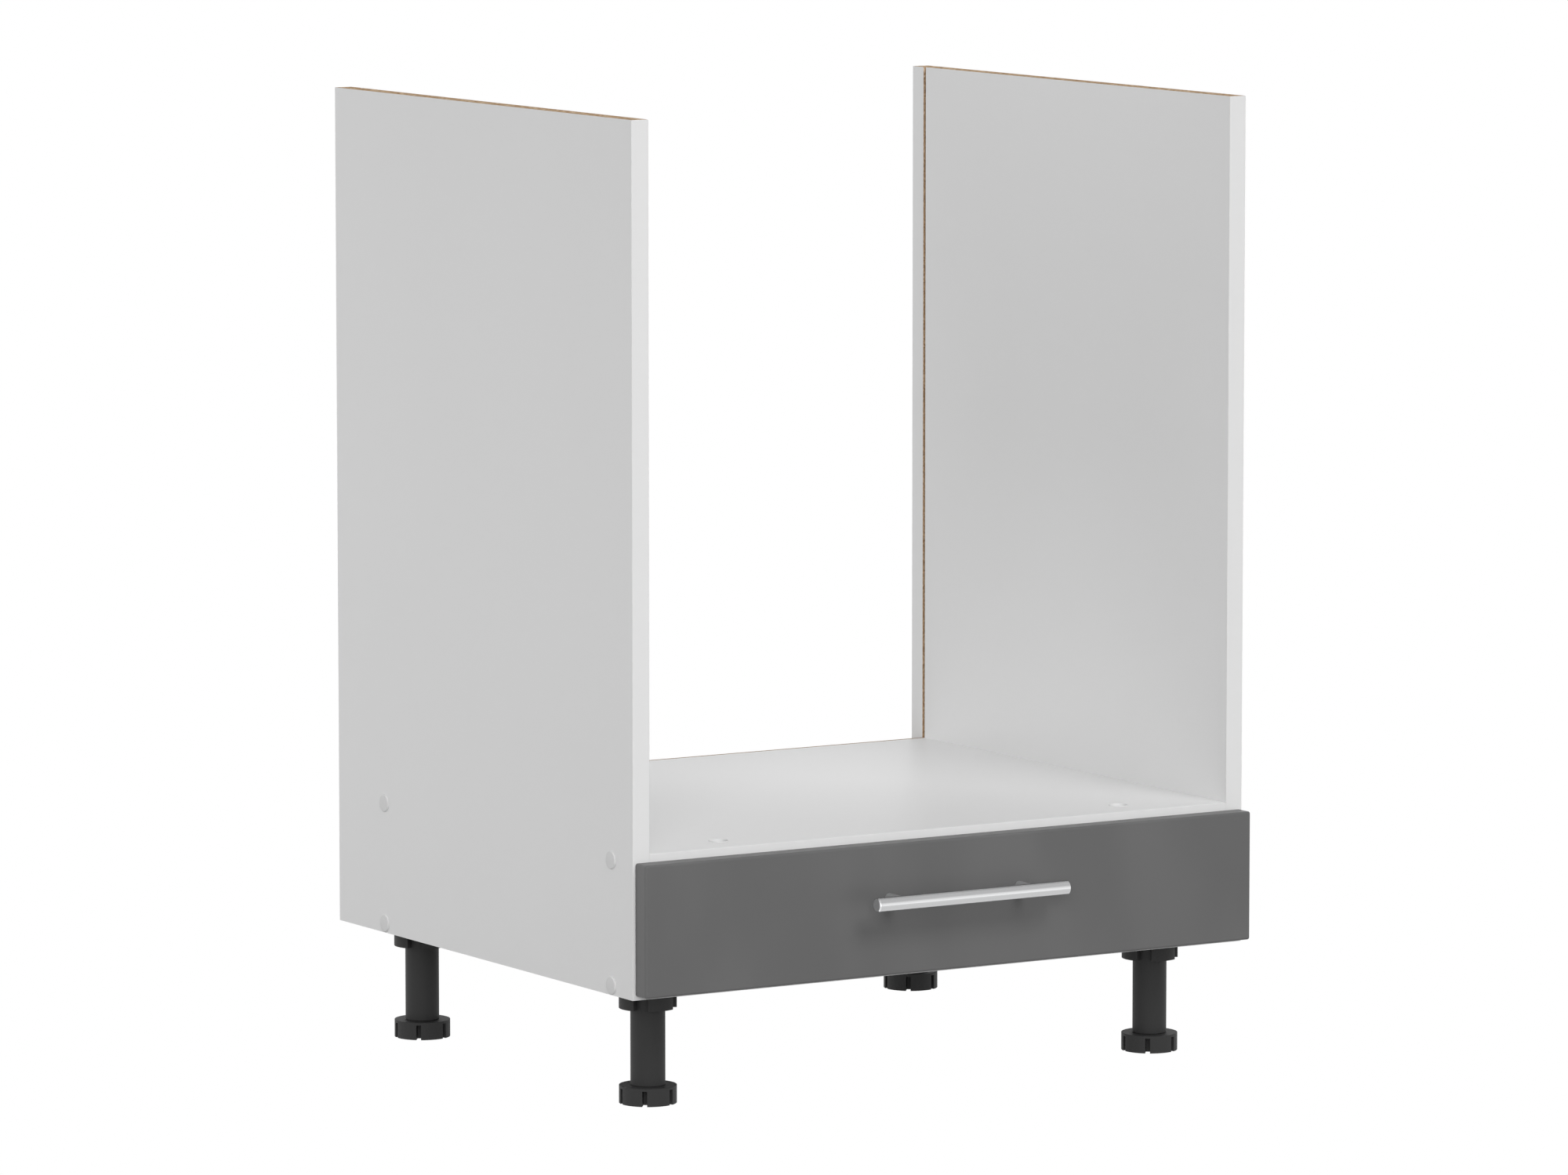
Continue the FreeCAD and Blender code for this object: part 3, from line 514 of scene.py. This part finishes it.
# ---- mesh helpers ----
def merged(node):
    """A closed, merged copy of a CAD node's mesh with its flat faces made whole, as a bmesh."""
    mesh = bmesh.new()
    mesh.from_mesh(frame["nodes"][node].data)
    bmesh.ops.remove_doubles(mesh, verts=mesh.verts, dist=MERGED_WITHIN)
    scope = {"verts": mesh.verts, "edges": mesh.edges, "use_dissolve_boundaries": False}
    bmesh.ops.dissolve_limit(mesh, angle_limit=FLAT_ANGLE, **scope)
    return mesh


def piece(name, mesh, material=None):
    """A new object at the origin that shows a mesh."""
    if isinstance(mesh, bmesh.types.BMesh):
        plain = bpy.data.meshes.new(name)
        mesh.to_mesh(plain)
        mesh.free()
        mesh = plain
    made = bpy.data.objects.new(name, mesh)
    bpy.context.scene.collection.objects.link(made)
    if material:
        made.data.materials.clear()
        made.data.materials.append(material)
    return made


def baked(made):
    """Turns an object's modifiers into its plain mesh and removes them."""
    bpy.context.view_layer.update()
    graph = bpy.context.evaluated_depsgraph_get()
    mesh = bpy.data.meshes.new_from_object(made.evaluated_get(graph))
    made.modifiers.clear()
    made.data = mesh
    mesh.name = made.name
    return made


def rounded(made, width, segments=3):
    """Rounds an object's sharp edges and keeps its flat faces flat in shading."""
    made.data.shade_smooth()
    bevel = made.modifiers.new("round", "BEVEL")
    bevel.width = width
    bevel.segments = segments
    bevel.limit_method = "ANGLE"
    bevel.angle_limit = SHARP_ANGLE
    flat = made.modifiers.new("flat", "WEIGHTED_NORMAL")
    flat.weight = 100
    return baked(made)


def creased(made):
    """Smooth shading that keeps an object's sharp edges."""
    made.data.shade_smooth()
    made.data.set_sharp_from_angle(angle=CREASE_ANGLE)
    return made


def fit(made, body, slot, *nodes):
    """Hangs a piece on its body, in place of the CAD nodes that it stands for."""
    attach(made, body)
    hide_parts(*nodes)


def softened(node, body, slot, material, width, segments=3):
    """A copy of a CAD node with its sharp edges rounded, in place of the node."""
    made = piece(node + "_soft", merged(node), material)
    fit(rounded(made, width, segments), body, slot, node)


def lathe(profile, sides):
    """A closed shape turned about Z, from (radius, height) points, as a bmesh."""
    mesh = bmesh.new()
    angles = [2 * math.pi * k / sides for k in range(sides)]
    rings = []
    for radius, height in profile:
        steps = angles if radius else [0.0]
        points = [(radius * math.cos(angle), radius * math.sin(angle), height) for angle in steps]
        rings.append([mesh.verts.new(point) for point in points])
    for near, far in zip(rings, rings[1:]):
        for k in range(sides):
            corners = [near[k % len(near)], near[(k + 1) % len(near)]]
            corners += [far[(k + 1) % len(far)], far[k % len(far)]]
            mesh.faces.new(list(dict.fromkeys(corners)))
    bmesh.ops.recalc_face_normals(mesh, faces=mesh.faces)
    return mesh


def solids(node):
    """The lowest and highest corner of each separate solid in a CAD node."""
    mesh = merged(node)
    left, boxes = set(mesh.verts), []
    while left:
        group, edge = set(), [next(iter(left))]
        while edge:
            vert = edge.pop()
            if vert in group:
                continue
            group.add(vert)
            edge += [link.other_vert(vert) for link in vert.link_edges]
        left -= group
        spans = [[vert.co[k] for vert in group] for k in range(3)]
        boxes.append((Vector([min(span) for span in spans]), Vector([max(span) for span in spans])))
    mesh.free()
    return sorted(boxes, key=lambda pair: tuple(round(value, 5) for value in pair[0]))


# ---- pieces that repeat ----
def spread(name, blank, places, material, recess=None, roll=0.0):
    """Copies of a blank at (start, aim) places. Its +Z turns to the aim, after a random roll about itself.

    recess is the (length, width, depth) of a cross cut into the blank where it starts."""
    spots = bpy.data.meshes.new(name + "_spots")
    spots.from_pydata([start for start, _ in places], [], [])
    aims = spots.attributes.new("aim", "FLOAT_VECTOR", "POINT")
    aims.data.foreach_set("vector", [value for _, aim in places for value in aim])

    master = piece(name + "_blank", blank)
    master.data.shade_smooth()
    sizes = {"Blank": master, "Roll": roll, "Seed": SPIN_SEED}
    if recess:
        sizes.update({"Recess length": recess[0], "Recess width": recess[1], "Recess depth": recess[2]})
    shape = Shape(name + "_spread", sizes)
    one = shape.node("GeometryNodeObjectInfo", None, {"Object": shape.size("Blank")}, "Geometry")
    if recess:
        long, wide = shape.size("Recess length"), shape.size("Recess width")
        deep = shape.size("Recess depth") * 2
        one = shape.cut(one, shape.block(long, wide, deep), shape.block(wide, long, deep))
    inputs = {2: 0.0, 3: shape.size("Roll"), "Seed": shape.size("Seed")}
    spin = shape.node("FunctionNodeRandomValue", {"data_type": "FLOAT"}, inputs, 1)
    spun = shape.node("FunctionNodeEulerToRotation", None, {0: shape.vector(z=spin)})
    aim = shape.node("GeometryNodeInputNamedAttribute", {"data_type": "FLOAT_VECTOR"}, {"Name": "aim"})
    inputs = {"Rotation": spun, "Vector": aim}
    turn = shape.node("FunctionNodeAlignRotationToVector", {"axis": "Z"}, inputs)
    inputs = {"Points": shape.size("Base"), "Instance": one, "Rotation": turn}
    shape.end(shape.node("GeometryNodeInstanceOnPoints", None, inputs), material)
    made = baked(shape.make(name, spots))
    bpy.data.objects.remove(master)
    return creased(made)


def arc(radius, rise, steps):
    """The rounded shoulder of a lathe profile: (inset from the rim, drop from the top) points."""
    turns = [math.pi / 2 * k / steps for k in range(steps + 1)]
    return [(radius * (1 - math.sin(turn)), rise * (1 - math.cos(turn))) for turn in turns]


def threaded(shank, start, tip):
    """The profile of a threaded shank that ends in a point."""
    core = shank * SCREW_CORE
    points = []
    for k in range(int((tip - shank - start) / SCREW_PITCH)):
        points += [(core, start + k * SCREW_PITCH), (shank, start + (k + 0.5) * SCREW_PITCH)]
    return points + [(core, tip - shank), (0, tip)]


def flush_screw(head, shank, length):
    """A countersunk screw with its head's face at the start."""
    neck = HEAD_EDGE + head - shank
    rim = [(0, 0), (head - HEAD_CHAMFER, 0), (head, HEAD_CHAMFER), (head, HEAD_EDGE)]
    return rim + [(shank * SCREW_NECK, neck)] + threaded(shank, neck + SCREW_LEAD, length)


def domed_screw(head, shank, height, length):
    """A pan-head screw with the top of its head at the start."""
    dome = [(head - inset, drop) for inset, drop in arc(head * DOME[0], height * DOME[1], 5)]
    rim = [(0, 0)] + dome + [(head, height), (shank * SCREW_NECK, height)]
    return rim + threaded(shank, height + SCREW_LEAD, height + length)


def cap_profile(radius, thickness, rounding, stub, reach):
    """A flat round cap with a rolled rim; its stub runs on into the piece."""
    rim = [(radius - inset, -thickness + drop) for inset, drop in arc(rounding, rounding, 6)]
    tip = 0.4 * MM
    foot = [(stub, 0), (stub, reach - tip), (stub * 0.8, reach), (0, reach)]
    return [(0, -thickness)] + rim + [(radius, 0)] + foot


def fluted(radius, length):
    """A dowel with lengthwise flutes and chamfered ends, as a bmesh from z = 0 up."""
    mesh = bmesh.new()
    chamfer = DOWEL_CHAMFER
    rings = []
    for height, shrink in ((0, chamfer), (chamfer, 0), (length - chamfer, 0), (length, chamfer)):
        ring = []
        for k in range(2 * DOWEL_FLUTES):
            angle = math.pi * k / DOWEL_FLUTES
            reach = radius - shrink - (FLUTE_DEPTH if k % 2 else 0)
            ring.append(mesh.verts.new((reach * math.cos(angle), reach * math.sin(angle), height)))
        rings.append(ring)
    for near, far in zip(rings, rings[1:]):
        for k in range(2 * DOWEL_FLUTES):
            mesh.faces.new((near[k - 1], near[k], far[k], far[k - 1]))
    mesh.faces.new(reversed(rings[0]))
    mesh.faces.new(rings[-1])
    return mesh


def starts(node, aim):
    """(start, aim) of each solid in a node: the middle of the end it starts from, and the way it points.

    The aim is for the right half. With an X part it is mirrored for solids in the left half."""
    places = []
    for low, high in solids(node):
        middle = (low + high) / 2
        way = Vector((aim[0] * (1 if middle.x > 0 else -1), aim[1], aim[2]))
        half = abs((high - low).dot(way)) / 2
        places.append((middle - way * half, way))
    return places


def span_of(node, aim):
    """Length along the aim and radius across it of a node's solids."""
    low, high = solids(node)[0]
    size = high - low
    length = abs(size.dot(Vector(aim)))
    return length, max(value for value, way in zip(size, aim) if not way) / 2


def screws(node, body, aim, shank, head_height=0.0):
    """The screws of a node with their driver crosses, each turned at random, as they are left when driven."""
    length, head = span_of(node, aim)
    if head_height:
        profile = domed_screw(head, shank, head_height, length - head_height)
    else:
        profile = flush_screw(head, shank, length)
    recess = [head * share for share in CROSS]
    made = spread(node + "_driven", lathe(profile, SCREW_SIDES), starts(node, aim), ZINC, recess, math.pi)
    fit(made, body, "zinc_steel", node)


def dished_profile(radius, thickness, rounding, body, reach, dish, depth):
    """A plug with a round dish in its top; its body fills its bore.

    The dish's floor curves up into its wall, and the wall's upper edge is eased."""
    inner, step, drop, wall = 0.6 * MM, 0.15 * MM, 0.2 * MM, 0.7 * MM
    floor = [(0, depth), (dish - inner, depth), (dish - step, depth - drop), (dish, depth - wall)]
    near, far = 0.1 * MM, 0.25 * MM
    mouth = [(dish, rounding - thickness), (dish + near, near - thickness), (dish + far, -thickness)]
    rim = [(radius - inset, -thickness + fall) for inset, fall in arc(rounding, rounding, 5)]
    chamfer = 0.5 * MM
    foot = [(body, 0), (body, reach - chamfer), (body - chamfer, reach), (0, reach)]
    return floor + mouth + rim + [(radius, 0)] + foot


def caps(node, aim, profile, proud):
    """Turned plastic caps in place of a node's, each standing proud of the surface round it."""
    places = [(start + way * proud, way) for start, way in starts(node, aim)]
    made = spread(node + "_set", lathe(profile, CAP_SIDES), places, WHITE_PLASTIC)
    fit(made, "carcase", "white_plastic", node)


def dowels(node, body, aim):
    """The dowels of a node with their flutes, each turned at random."""
    length, radius = span_of(node, aim)
    made = spread(node + "_fluted", fluted(radius, length), starts(node, aim), BEECH, None, math.pi)
    fit(made, body, "beech", node)


# ---- levelling feet ----
def foot_shape():
    """A foot: a cylinder less a ring of slots, with the core of its stem."""
    sizes = {
        "Radius": (FOOT_HIGH.x - FOOT_LOW.x) / 2,
        "Height": FOOT_HEIGHT,
        "Slots": 6,
        "Slot width": 4.0 * MM,
        "Slot roof": 2.2 * MM,
        "Hub radius": 14.5 * MM,
        "Turn": math.radians(-7.0),
        "Stem radius": STEM_CORE,
        "Stem top": FOOT_HIGH.z,
    }
    shape = Shape("foot_disc", sizes)
    radius, height = shape.size("Radius"), shape.size("Height")
    settings = {"fill_type": "NGON"}
    inputs = {"Vertices": 96, "Radius": radius, "Depth": height}
    disc = shape.node("GeometryNodeMeshCylinder", settings, inputs)
    disc = shape.moved(disc, shape.vector(z=height * 0.5))
    reach = radius - shape.size("Hub radius") + OVERLAP
    tall = height - shape.size("Slot roof") + OVERLAP
    block = shape.block(reach, shape.size("Slot width"), tall)
    middle = shape.vector(shape.size("Hub radius") + reach * 0.5, 0.0, tall * 0.5 - OVERLAP)
    index = shape.node("GeometryNodeInputIndex")
    angle = shape.size("Turn") + index * (2 * math.pi) / shape.size("Slots")
    inputs = {"Count": shape.size("Slots"), "Offset": (0.0, 0.0, 0.0)}
    spots = shape.node("GeometryNodeMeshLine", None, inputs)
    inputs = {"Points": spots, "Instance": shape.moved(block, middle), "Rotation": shape.vector(z=angle)}
    slots = shape.node("GeometryNodeInstanceOnPoints", None, inputs)
    slots = shape.node("GeometryNodeRealizeInstances", None, {0: slots})
    foot = shape.cut(disc, slots)
    root = height - 2 * OVERLAP
    rise = shape.size("Stem top") - root
    inputs = {"Vertices": 48, "Radius": shape.size("Stem radius"), "Depth": rise}
    stem = shape.node("GeometryNodeMeshCylinder", settings, inputs)
    stem = shape.moved(stem, shape.vector(z=root + rise * 0.5))
    settings = {"operation": "UNION", "solver": "EXACT"}
    shape.end(shape.node("GeometryNodeMeshBoolean", settings, {"Mesh 2": [foot, stem]}), BLACK_PLASTIC)
    return shape


def thread_shape():
    """The ridge of a foot's thread: a spiral swept with a trapezoid."""
    run = FOOT_HIGH.z - FOOT_HEIGHT - 2 * THREAD_MARGIN
    ridge = STEM_RADIUS - STEM_CORE
    sizes = {"Turns": run / THREAD_PITCH, "Run": run, "Core radius": STEM_CORE, "Ridge": ridge}
    shape = Shape("foot_thread", sizes)
    middle = shape.size("Core radius") + shape.size("Ridge") * 0.5 - SUNK
    inputs = {"Resolution": 40, "Rotations": shape.size("Turns"), "Height": shape.size("Run")}
    inputs.update({"Start Radius": middle, "End Radius": middle})
    helix = shape.node("GeometryNodeCurveSpiral", None, inputs)
    helix = shape.node("GeometryNodeSetCurveNormal", {"mode": "Z_UP"}, {"Curve": helix})
    depth = shape.size("Ridge") + 2 * SUNK
    inputs = {"Height": depth, "Bottom Width": THREAD_FOOT, "Top Width": THREAD_CREST, "Offset": 0.0}
    section = shape.node("GeometryNodeCurvePrimitiveQuadrilateral", {"mode": "TRAPEZOID"}, inputs)
    section = shape.moved(section, (0.0, 0.0, 0.0), (0.0, 0.0, math.pi / 2))
    inputs = {"Curve": helix, "Profile Curve": section, "Fill Caps": True}
    swept = shape.node("GeometryNodeCurveToMesh", None, inputs)
    shape.end(shape.moved(swept, (0.0, 0.0, FOOT_HEIGHT + THREAD_MARGIN)), BLACK_PLASTIC)
    return shape


def placed_at(made, x, y):
    """Moves a piece's mesh to a place on the floor plan; its object stays at the origin."""
    for vert in made.data.vertices:
        vert.co.x += x
        vert.co.y += y
    return made


def feet():
    """The four feet, each with its disc and stem in one piece and the thread's ridge in another."""
    disc, thread = foot_shape(), thread_shape()
    for leg in LEGS:
        low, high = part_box(leg + "_leg_foot")
        x, y = (low.x + high.x) / 2, (low.y + high.y) / 2
        made = rounded(disc.make(leg + "_foot_disc"), 0.45 * MM)
        fit(placed_at(made, x, y), leg + "_foot", "black_plastic", leg + "_leg_foot")
        ridge = creased(baked(thread.make(leg + "_foot_thread")))
        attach(placed_at(ridge, x, y), leg + "_foot")


# ---- stage ----
def background(graph, lit, shown, mirrored):
    """A shader in three parts: what lights the unit, what the camera sees, and what reflections see."""
    path = graph.node("ShaderNodeLightPath").socket.node
    kinds = ("Camera", "Glossy", "Transmission")
    seen, glossy, through = (Field(graph, path.outputs["Is " + kind + " Ray"]) for kind in kinds)
    rest = graph.node("ShaderNodeMixShader", None, {0: glossy, 1: lit, 2: mirrored})
    return graph.node("ShaderNodeMixShader", None, {0: graph.higher(seen, through), 1: rest, 2: shown})


def studio_world():
    """White behind the unit. Reflections see a grey studio that is brighter near the horizon."""
    world = bpy.data.worlds.new("studio")
    bpy.context.scene.world = world
    world.use_nodes = True
    graph = Graph(world.node_tree)
    white = (1.0, 1.0, 1.0, 1.0)
    lit = graph.node("ShaderNodeBackground", None, {"Color": white, "Strength": WORLD_LEVEL})
    shown = graph.node("ShaderNodeBackground", None, {"Color": white, "Strength": 1.0})
    way = graph.node("ShaderNodeTexCoord", out=0)
    height = graph.node("ShaderNodeSeparateXYZ", None, {0: way}, 2)
    band = 1 - graph.eased(height, *BAND_HEIGHTS)
    studio = graph.node("ShaderNodeBackground", None, {"Strength": STUDIO_GREY + STUDIO_BAND * band})
    graph.node("ShaderNodeOutputWorld", None, {"Surface": background(graph, lit, shown, studio)})


def studio_floor():
    """A floor that shows as white and gives back a little light; reflections see it glow grey, with a painted
    shade of the unit near it; from below it lets the view through.
    """
    mesh = bmesh.new()
    bmesh.ops.create_grid(mesh, x_segments=1, y_segments=1, size=FLOOR_SIZE / 2)
    bmesh.ops.translate(mesh, verts=mesh.verts, vec=(0.0, 0.0, -FLOOR_DROP))
    paint = Finish("floor_paper")
    grain = paint.noise(400.0, 3.0)
    lit = paint.node("ShaderNodeBsdfDiffuse", None, {"Color": paint.grey(FLOOR_TONE + 0.02 * grain)})
    x, y = paint.along("X"), paint.along("Y")
    reach = (x * x + y * y) ** 0.5
    shown = paint.node("ShaderNodeEmission", None, {"Strength": 1.0})
    clear = paint.node("ShaderNodeBsdfTransparent")
    below = paint.node("ShaderNodeNewGeometry", out=6)
    # painted shade: the glow that reflections see is dimmer near the unit
    band = paint.eased(reach, *PAINTED_SHADE_REACHES)
    studio = paint.node("ShaderNodeEmission", None, {"Strength": STUDIO_GREY + STUDIO_BAND * band})
    above = background(paint, lit, shown, studio)
    surface = paint.node("ShaderNodeMixShader", None, {0: below, 1: above, 2: clear})
    paint.node("ShaderNodeOutputMaterial", None, {"Surface": surface})
    piece("floor", mesh, paint.material)


def lamp(name, place, aim, size, power):
    """A square soft box that the camera doesn't see."""
    data = bpy.data.lights.new(name, "AREA")
    data.size = size
    data.energy = power
    made = bpy.data.objects.new(name, data)
    made.location = place
    made.rotation_euler = (Vector(aim) - Vector(place)).to_track_quat("-Z", "Y").to_euler()
    made.visible_camera = False
    made.visible_glossy = False
    bpy.context.scene.collection.objects.link(made)


def camera():
    """The photograph's place, looking down a little at the unit through a long lens."""
    data = bpy.data.cameras.new("camera")
    data.lens = LENS
    data.sensor_width = SENSOR
    data.clip_end = 100.0
    made = bpy.data.objects.new("camera", data)
    made.location = CAMERA_PLACE
    made.rotation_euler = (math.pi / 2 - CAMERA_TILT, 0.0, -CAMERA_HEADING)
    bpy.context.scene.collection.objects.link(made)
    bpy.context.scene.camera = made


bpy.context.scene.view_settings.view_transform = "Standard"
camera()
studio_world()
studio_floor()
for lamp_sizes in LAMPS:
    lamp(*lamp_sizes)

# ---- finishes on the CAD nodes ----
SIDE_BOARD = board("side_board", "X", INNER_X, OUTER_X)
SHELF_BOARD = board("shelf_board", "Z", SHELF_LOW.z, SHELF_HIGH.z)
BOTTOM_BOARD = board("bottom_board", "Z", BOTTOM_LOW.z, BOTTOM_HIGH.z)
DRAWER_SIDE_BOARD = board(
    "drawer_side_board", "X", DRAWER_SIDE_LOW.x, DRAWER_SIDE_HIGH.x, ("Z", DRAWER_SIDE_HIGH.z)
)
DRAWER_BACK_BOARD = board(
    "drawer_back_board", "Y", DRAWER_BACK_LOW.y, DRAWER_BACK_HIGH.y, ("Z", DRAWER_BACK_HIGH.z)
)
EDGING = edging("white_edging")
BACK_SHEET = hardboard("back_hardboard", "Y", BACK_FACE)
DRAWER_SHEET = hardboard("drawer_hardboard", "Z", SHEET_FACE)
BEECH = dowel_wood("beech")
ZINC = zinc("zinc_steel")
RUNNER_COAT = powder_coat("runner_coat")
HANDLE_STEEL = handle_steel("handle_steel")
FILM = wrapped_film("anthracite_film")
NEUTRAL = (1.0, 1.0, 1.0)
WHITE_PLASTIC = moulded("white_plastic", 0.665, NEUTRAL, 0.38, 0.02 * MM, 0.35)
NYLON = moulded("natural_nylon", 0.72, (1.0, 0.985, 0.94), 0.38, 0.03 * MM, 0.5)
BLACK_PLASTIC = moulded("black_plastic", 0.028, NEUTRAL, 0.52, 0.04 * MM, 0.3)

SLOT_FINISH = {
    "white_board": SIDE_BOARD,
    "white_edging": EDGING,
    "hardboard": BACK_SHEET,
    "beech": BEECH,
    "zinc_steel": ZINC,
    "white_plastic": WHITE_PLASTIC,
    "roller_plastic": NYLON,
    "white_steel": RUNNER_COAT,
    "wrapped_front": FILM,
    "handle_metal": HANDLE_STEEL,
    "black_plastic": BLACK_PLASTIC,
}
NODE_FINISH = {
    "oven_shelf": SHELF_BOARD,
    "bottom_panel": BOTTOM_BOARD,
    "left_drawer_side": DRAWER_SIDE_BOARD,
    "right_drawer_side": DRAWER_SIDE_BOARD,
    "drawer_back": DRAWER_BACK_BOARD,
    "drawer_bottom": DRAWER_SHEET,
}
for part in frame["record"]["subparts"]:
    node, slot = part["node"], part["material_slot"]
    materials = frame["nodes"][node].data.materials
    materials.clear()
    materials.append(NODE_FINISH.get(node, SLOT_FINISH[slot]))

# ---- pieces in place of plain nodes ----
for edge_node in ("left_side_edge_band", "right_side_edge_band", "shelf_edge_band", "bottom_edge_band"):
    softened(edge_node, "carcase", "white_edging", EDGING, 0.4 * MM)
for side in SIDES:
    softened(side + "_cabinet_runner", "carcase", "white_steel", RUNNER_COAT, 0.3 * MM)
    softened(side + "_drawer_runner", "drawer", "white_steel", RUNNER_COAT, 0.3 * MM)
    softened(side + "_cabinet_roller", side + "_cabinet_roller", "roller_plastic", NYLON, 0.25 * MM)
    softened(side + "_drawer_roller", side + "_drawer_roller", "roller_plastic", NYLON, 0.25 * MM)
for leg in LEGS:
    softened(leg + "_leg_socket", "carcase", "black_plastic", BLACK_PLASTIC, 0.5 * MM)
    softened(leg + "_leg_tube", "carcase", "black_plastic", BLACK_PLASTIC, 0.4 * MM)
feet()
softened("handle_bar", "drawer", "handle_metal", HANDLE_STEEL, 0.15 * MM, 2)
softened("drawer_cams", "drawer", "zinc_steel", ZINC, 0.15 * MM, 2)
screws("back_board_screws", "carcase", (0, -1, 0), 1.5 * MM, 1.8 * MM)
screws("leg_screws", "carcase", (0, 0, 1), 1.75 * MM)
screws("cabinet_runner_screws", "carcase", (1, 0, 0), 1.75 * MM)
screws("drawer_runner_screws", "drawer", (0, 0, 1), 1.75 * MM)
screws("drawer_bottom_screws", "drawer", (0, 0, 1), 1.5 * MM)
screws("drawer_back_screws", "drawer", (-1, 0, 0), 1.75 * MM)
screws("handle_screws", "drawer", (0, -1, 0), 2.0 * MM, 2.4 * MM)
CAP_PROUD = 1.2 * MM
CAP = cap_profile(radius=7.5 * MM, thickness=CAP_PROUD, rounding=0.9 * MM, stub=1.9 * MM, reach=2.5 * MM)
PLUG_PROUD = 0.4 * MM
PLUG = dished_profile(
    radius=8.5 * MM,
    thickness=PLUG_PROUD,
    rounding=0.3 * MM,
    body=8.0 * MM,
    reach=11.0 * MM,
    dish=7.4 * MM,
    depth=2.5 * MM,
)
caps("left_cover_caps", (-1, 0, 0), CAP, CAP_PROUD)
caps("right_cover_caps", (-1, 0, 0), CAP, CAP_PROUD)
caps("shelf_plugs", (0, 0, -1), PLUG, PLUG_PROUD)
dowels("carcase_dowels", "carcase", (-1, 0, 0))
dowels("drawer_dowels", "drawer", (0, 1, 0))
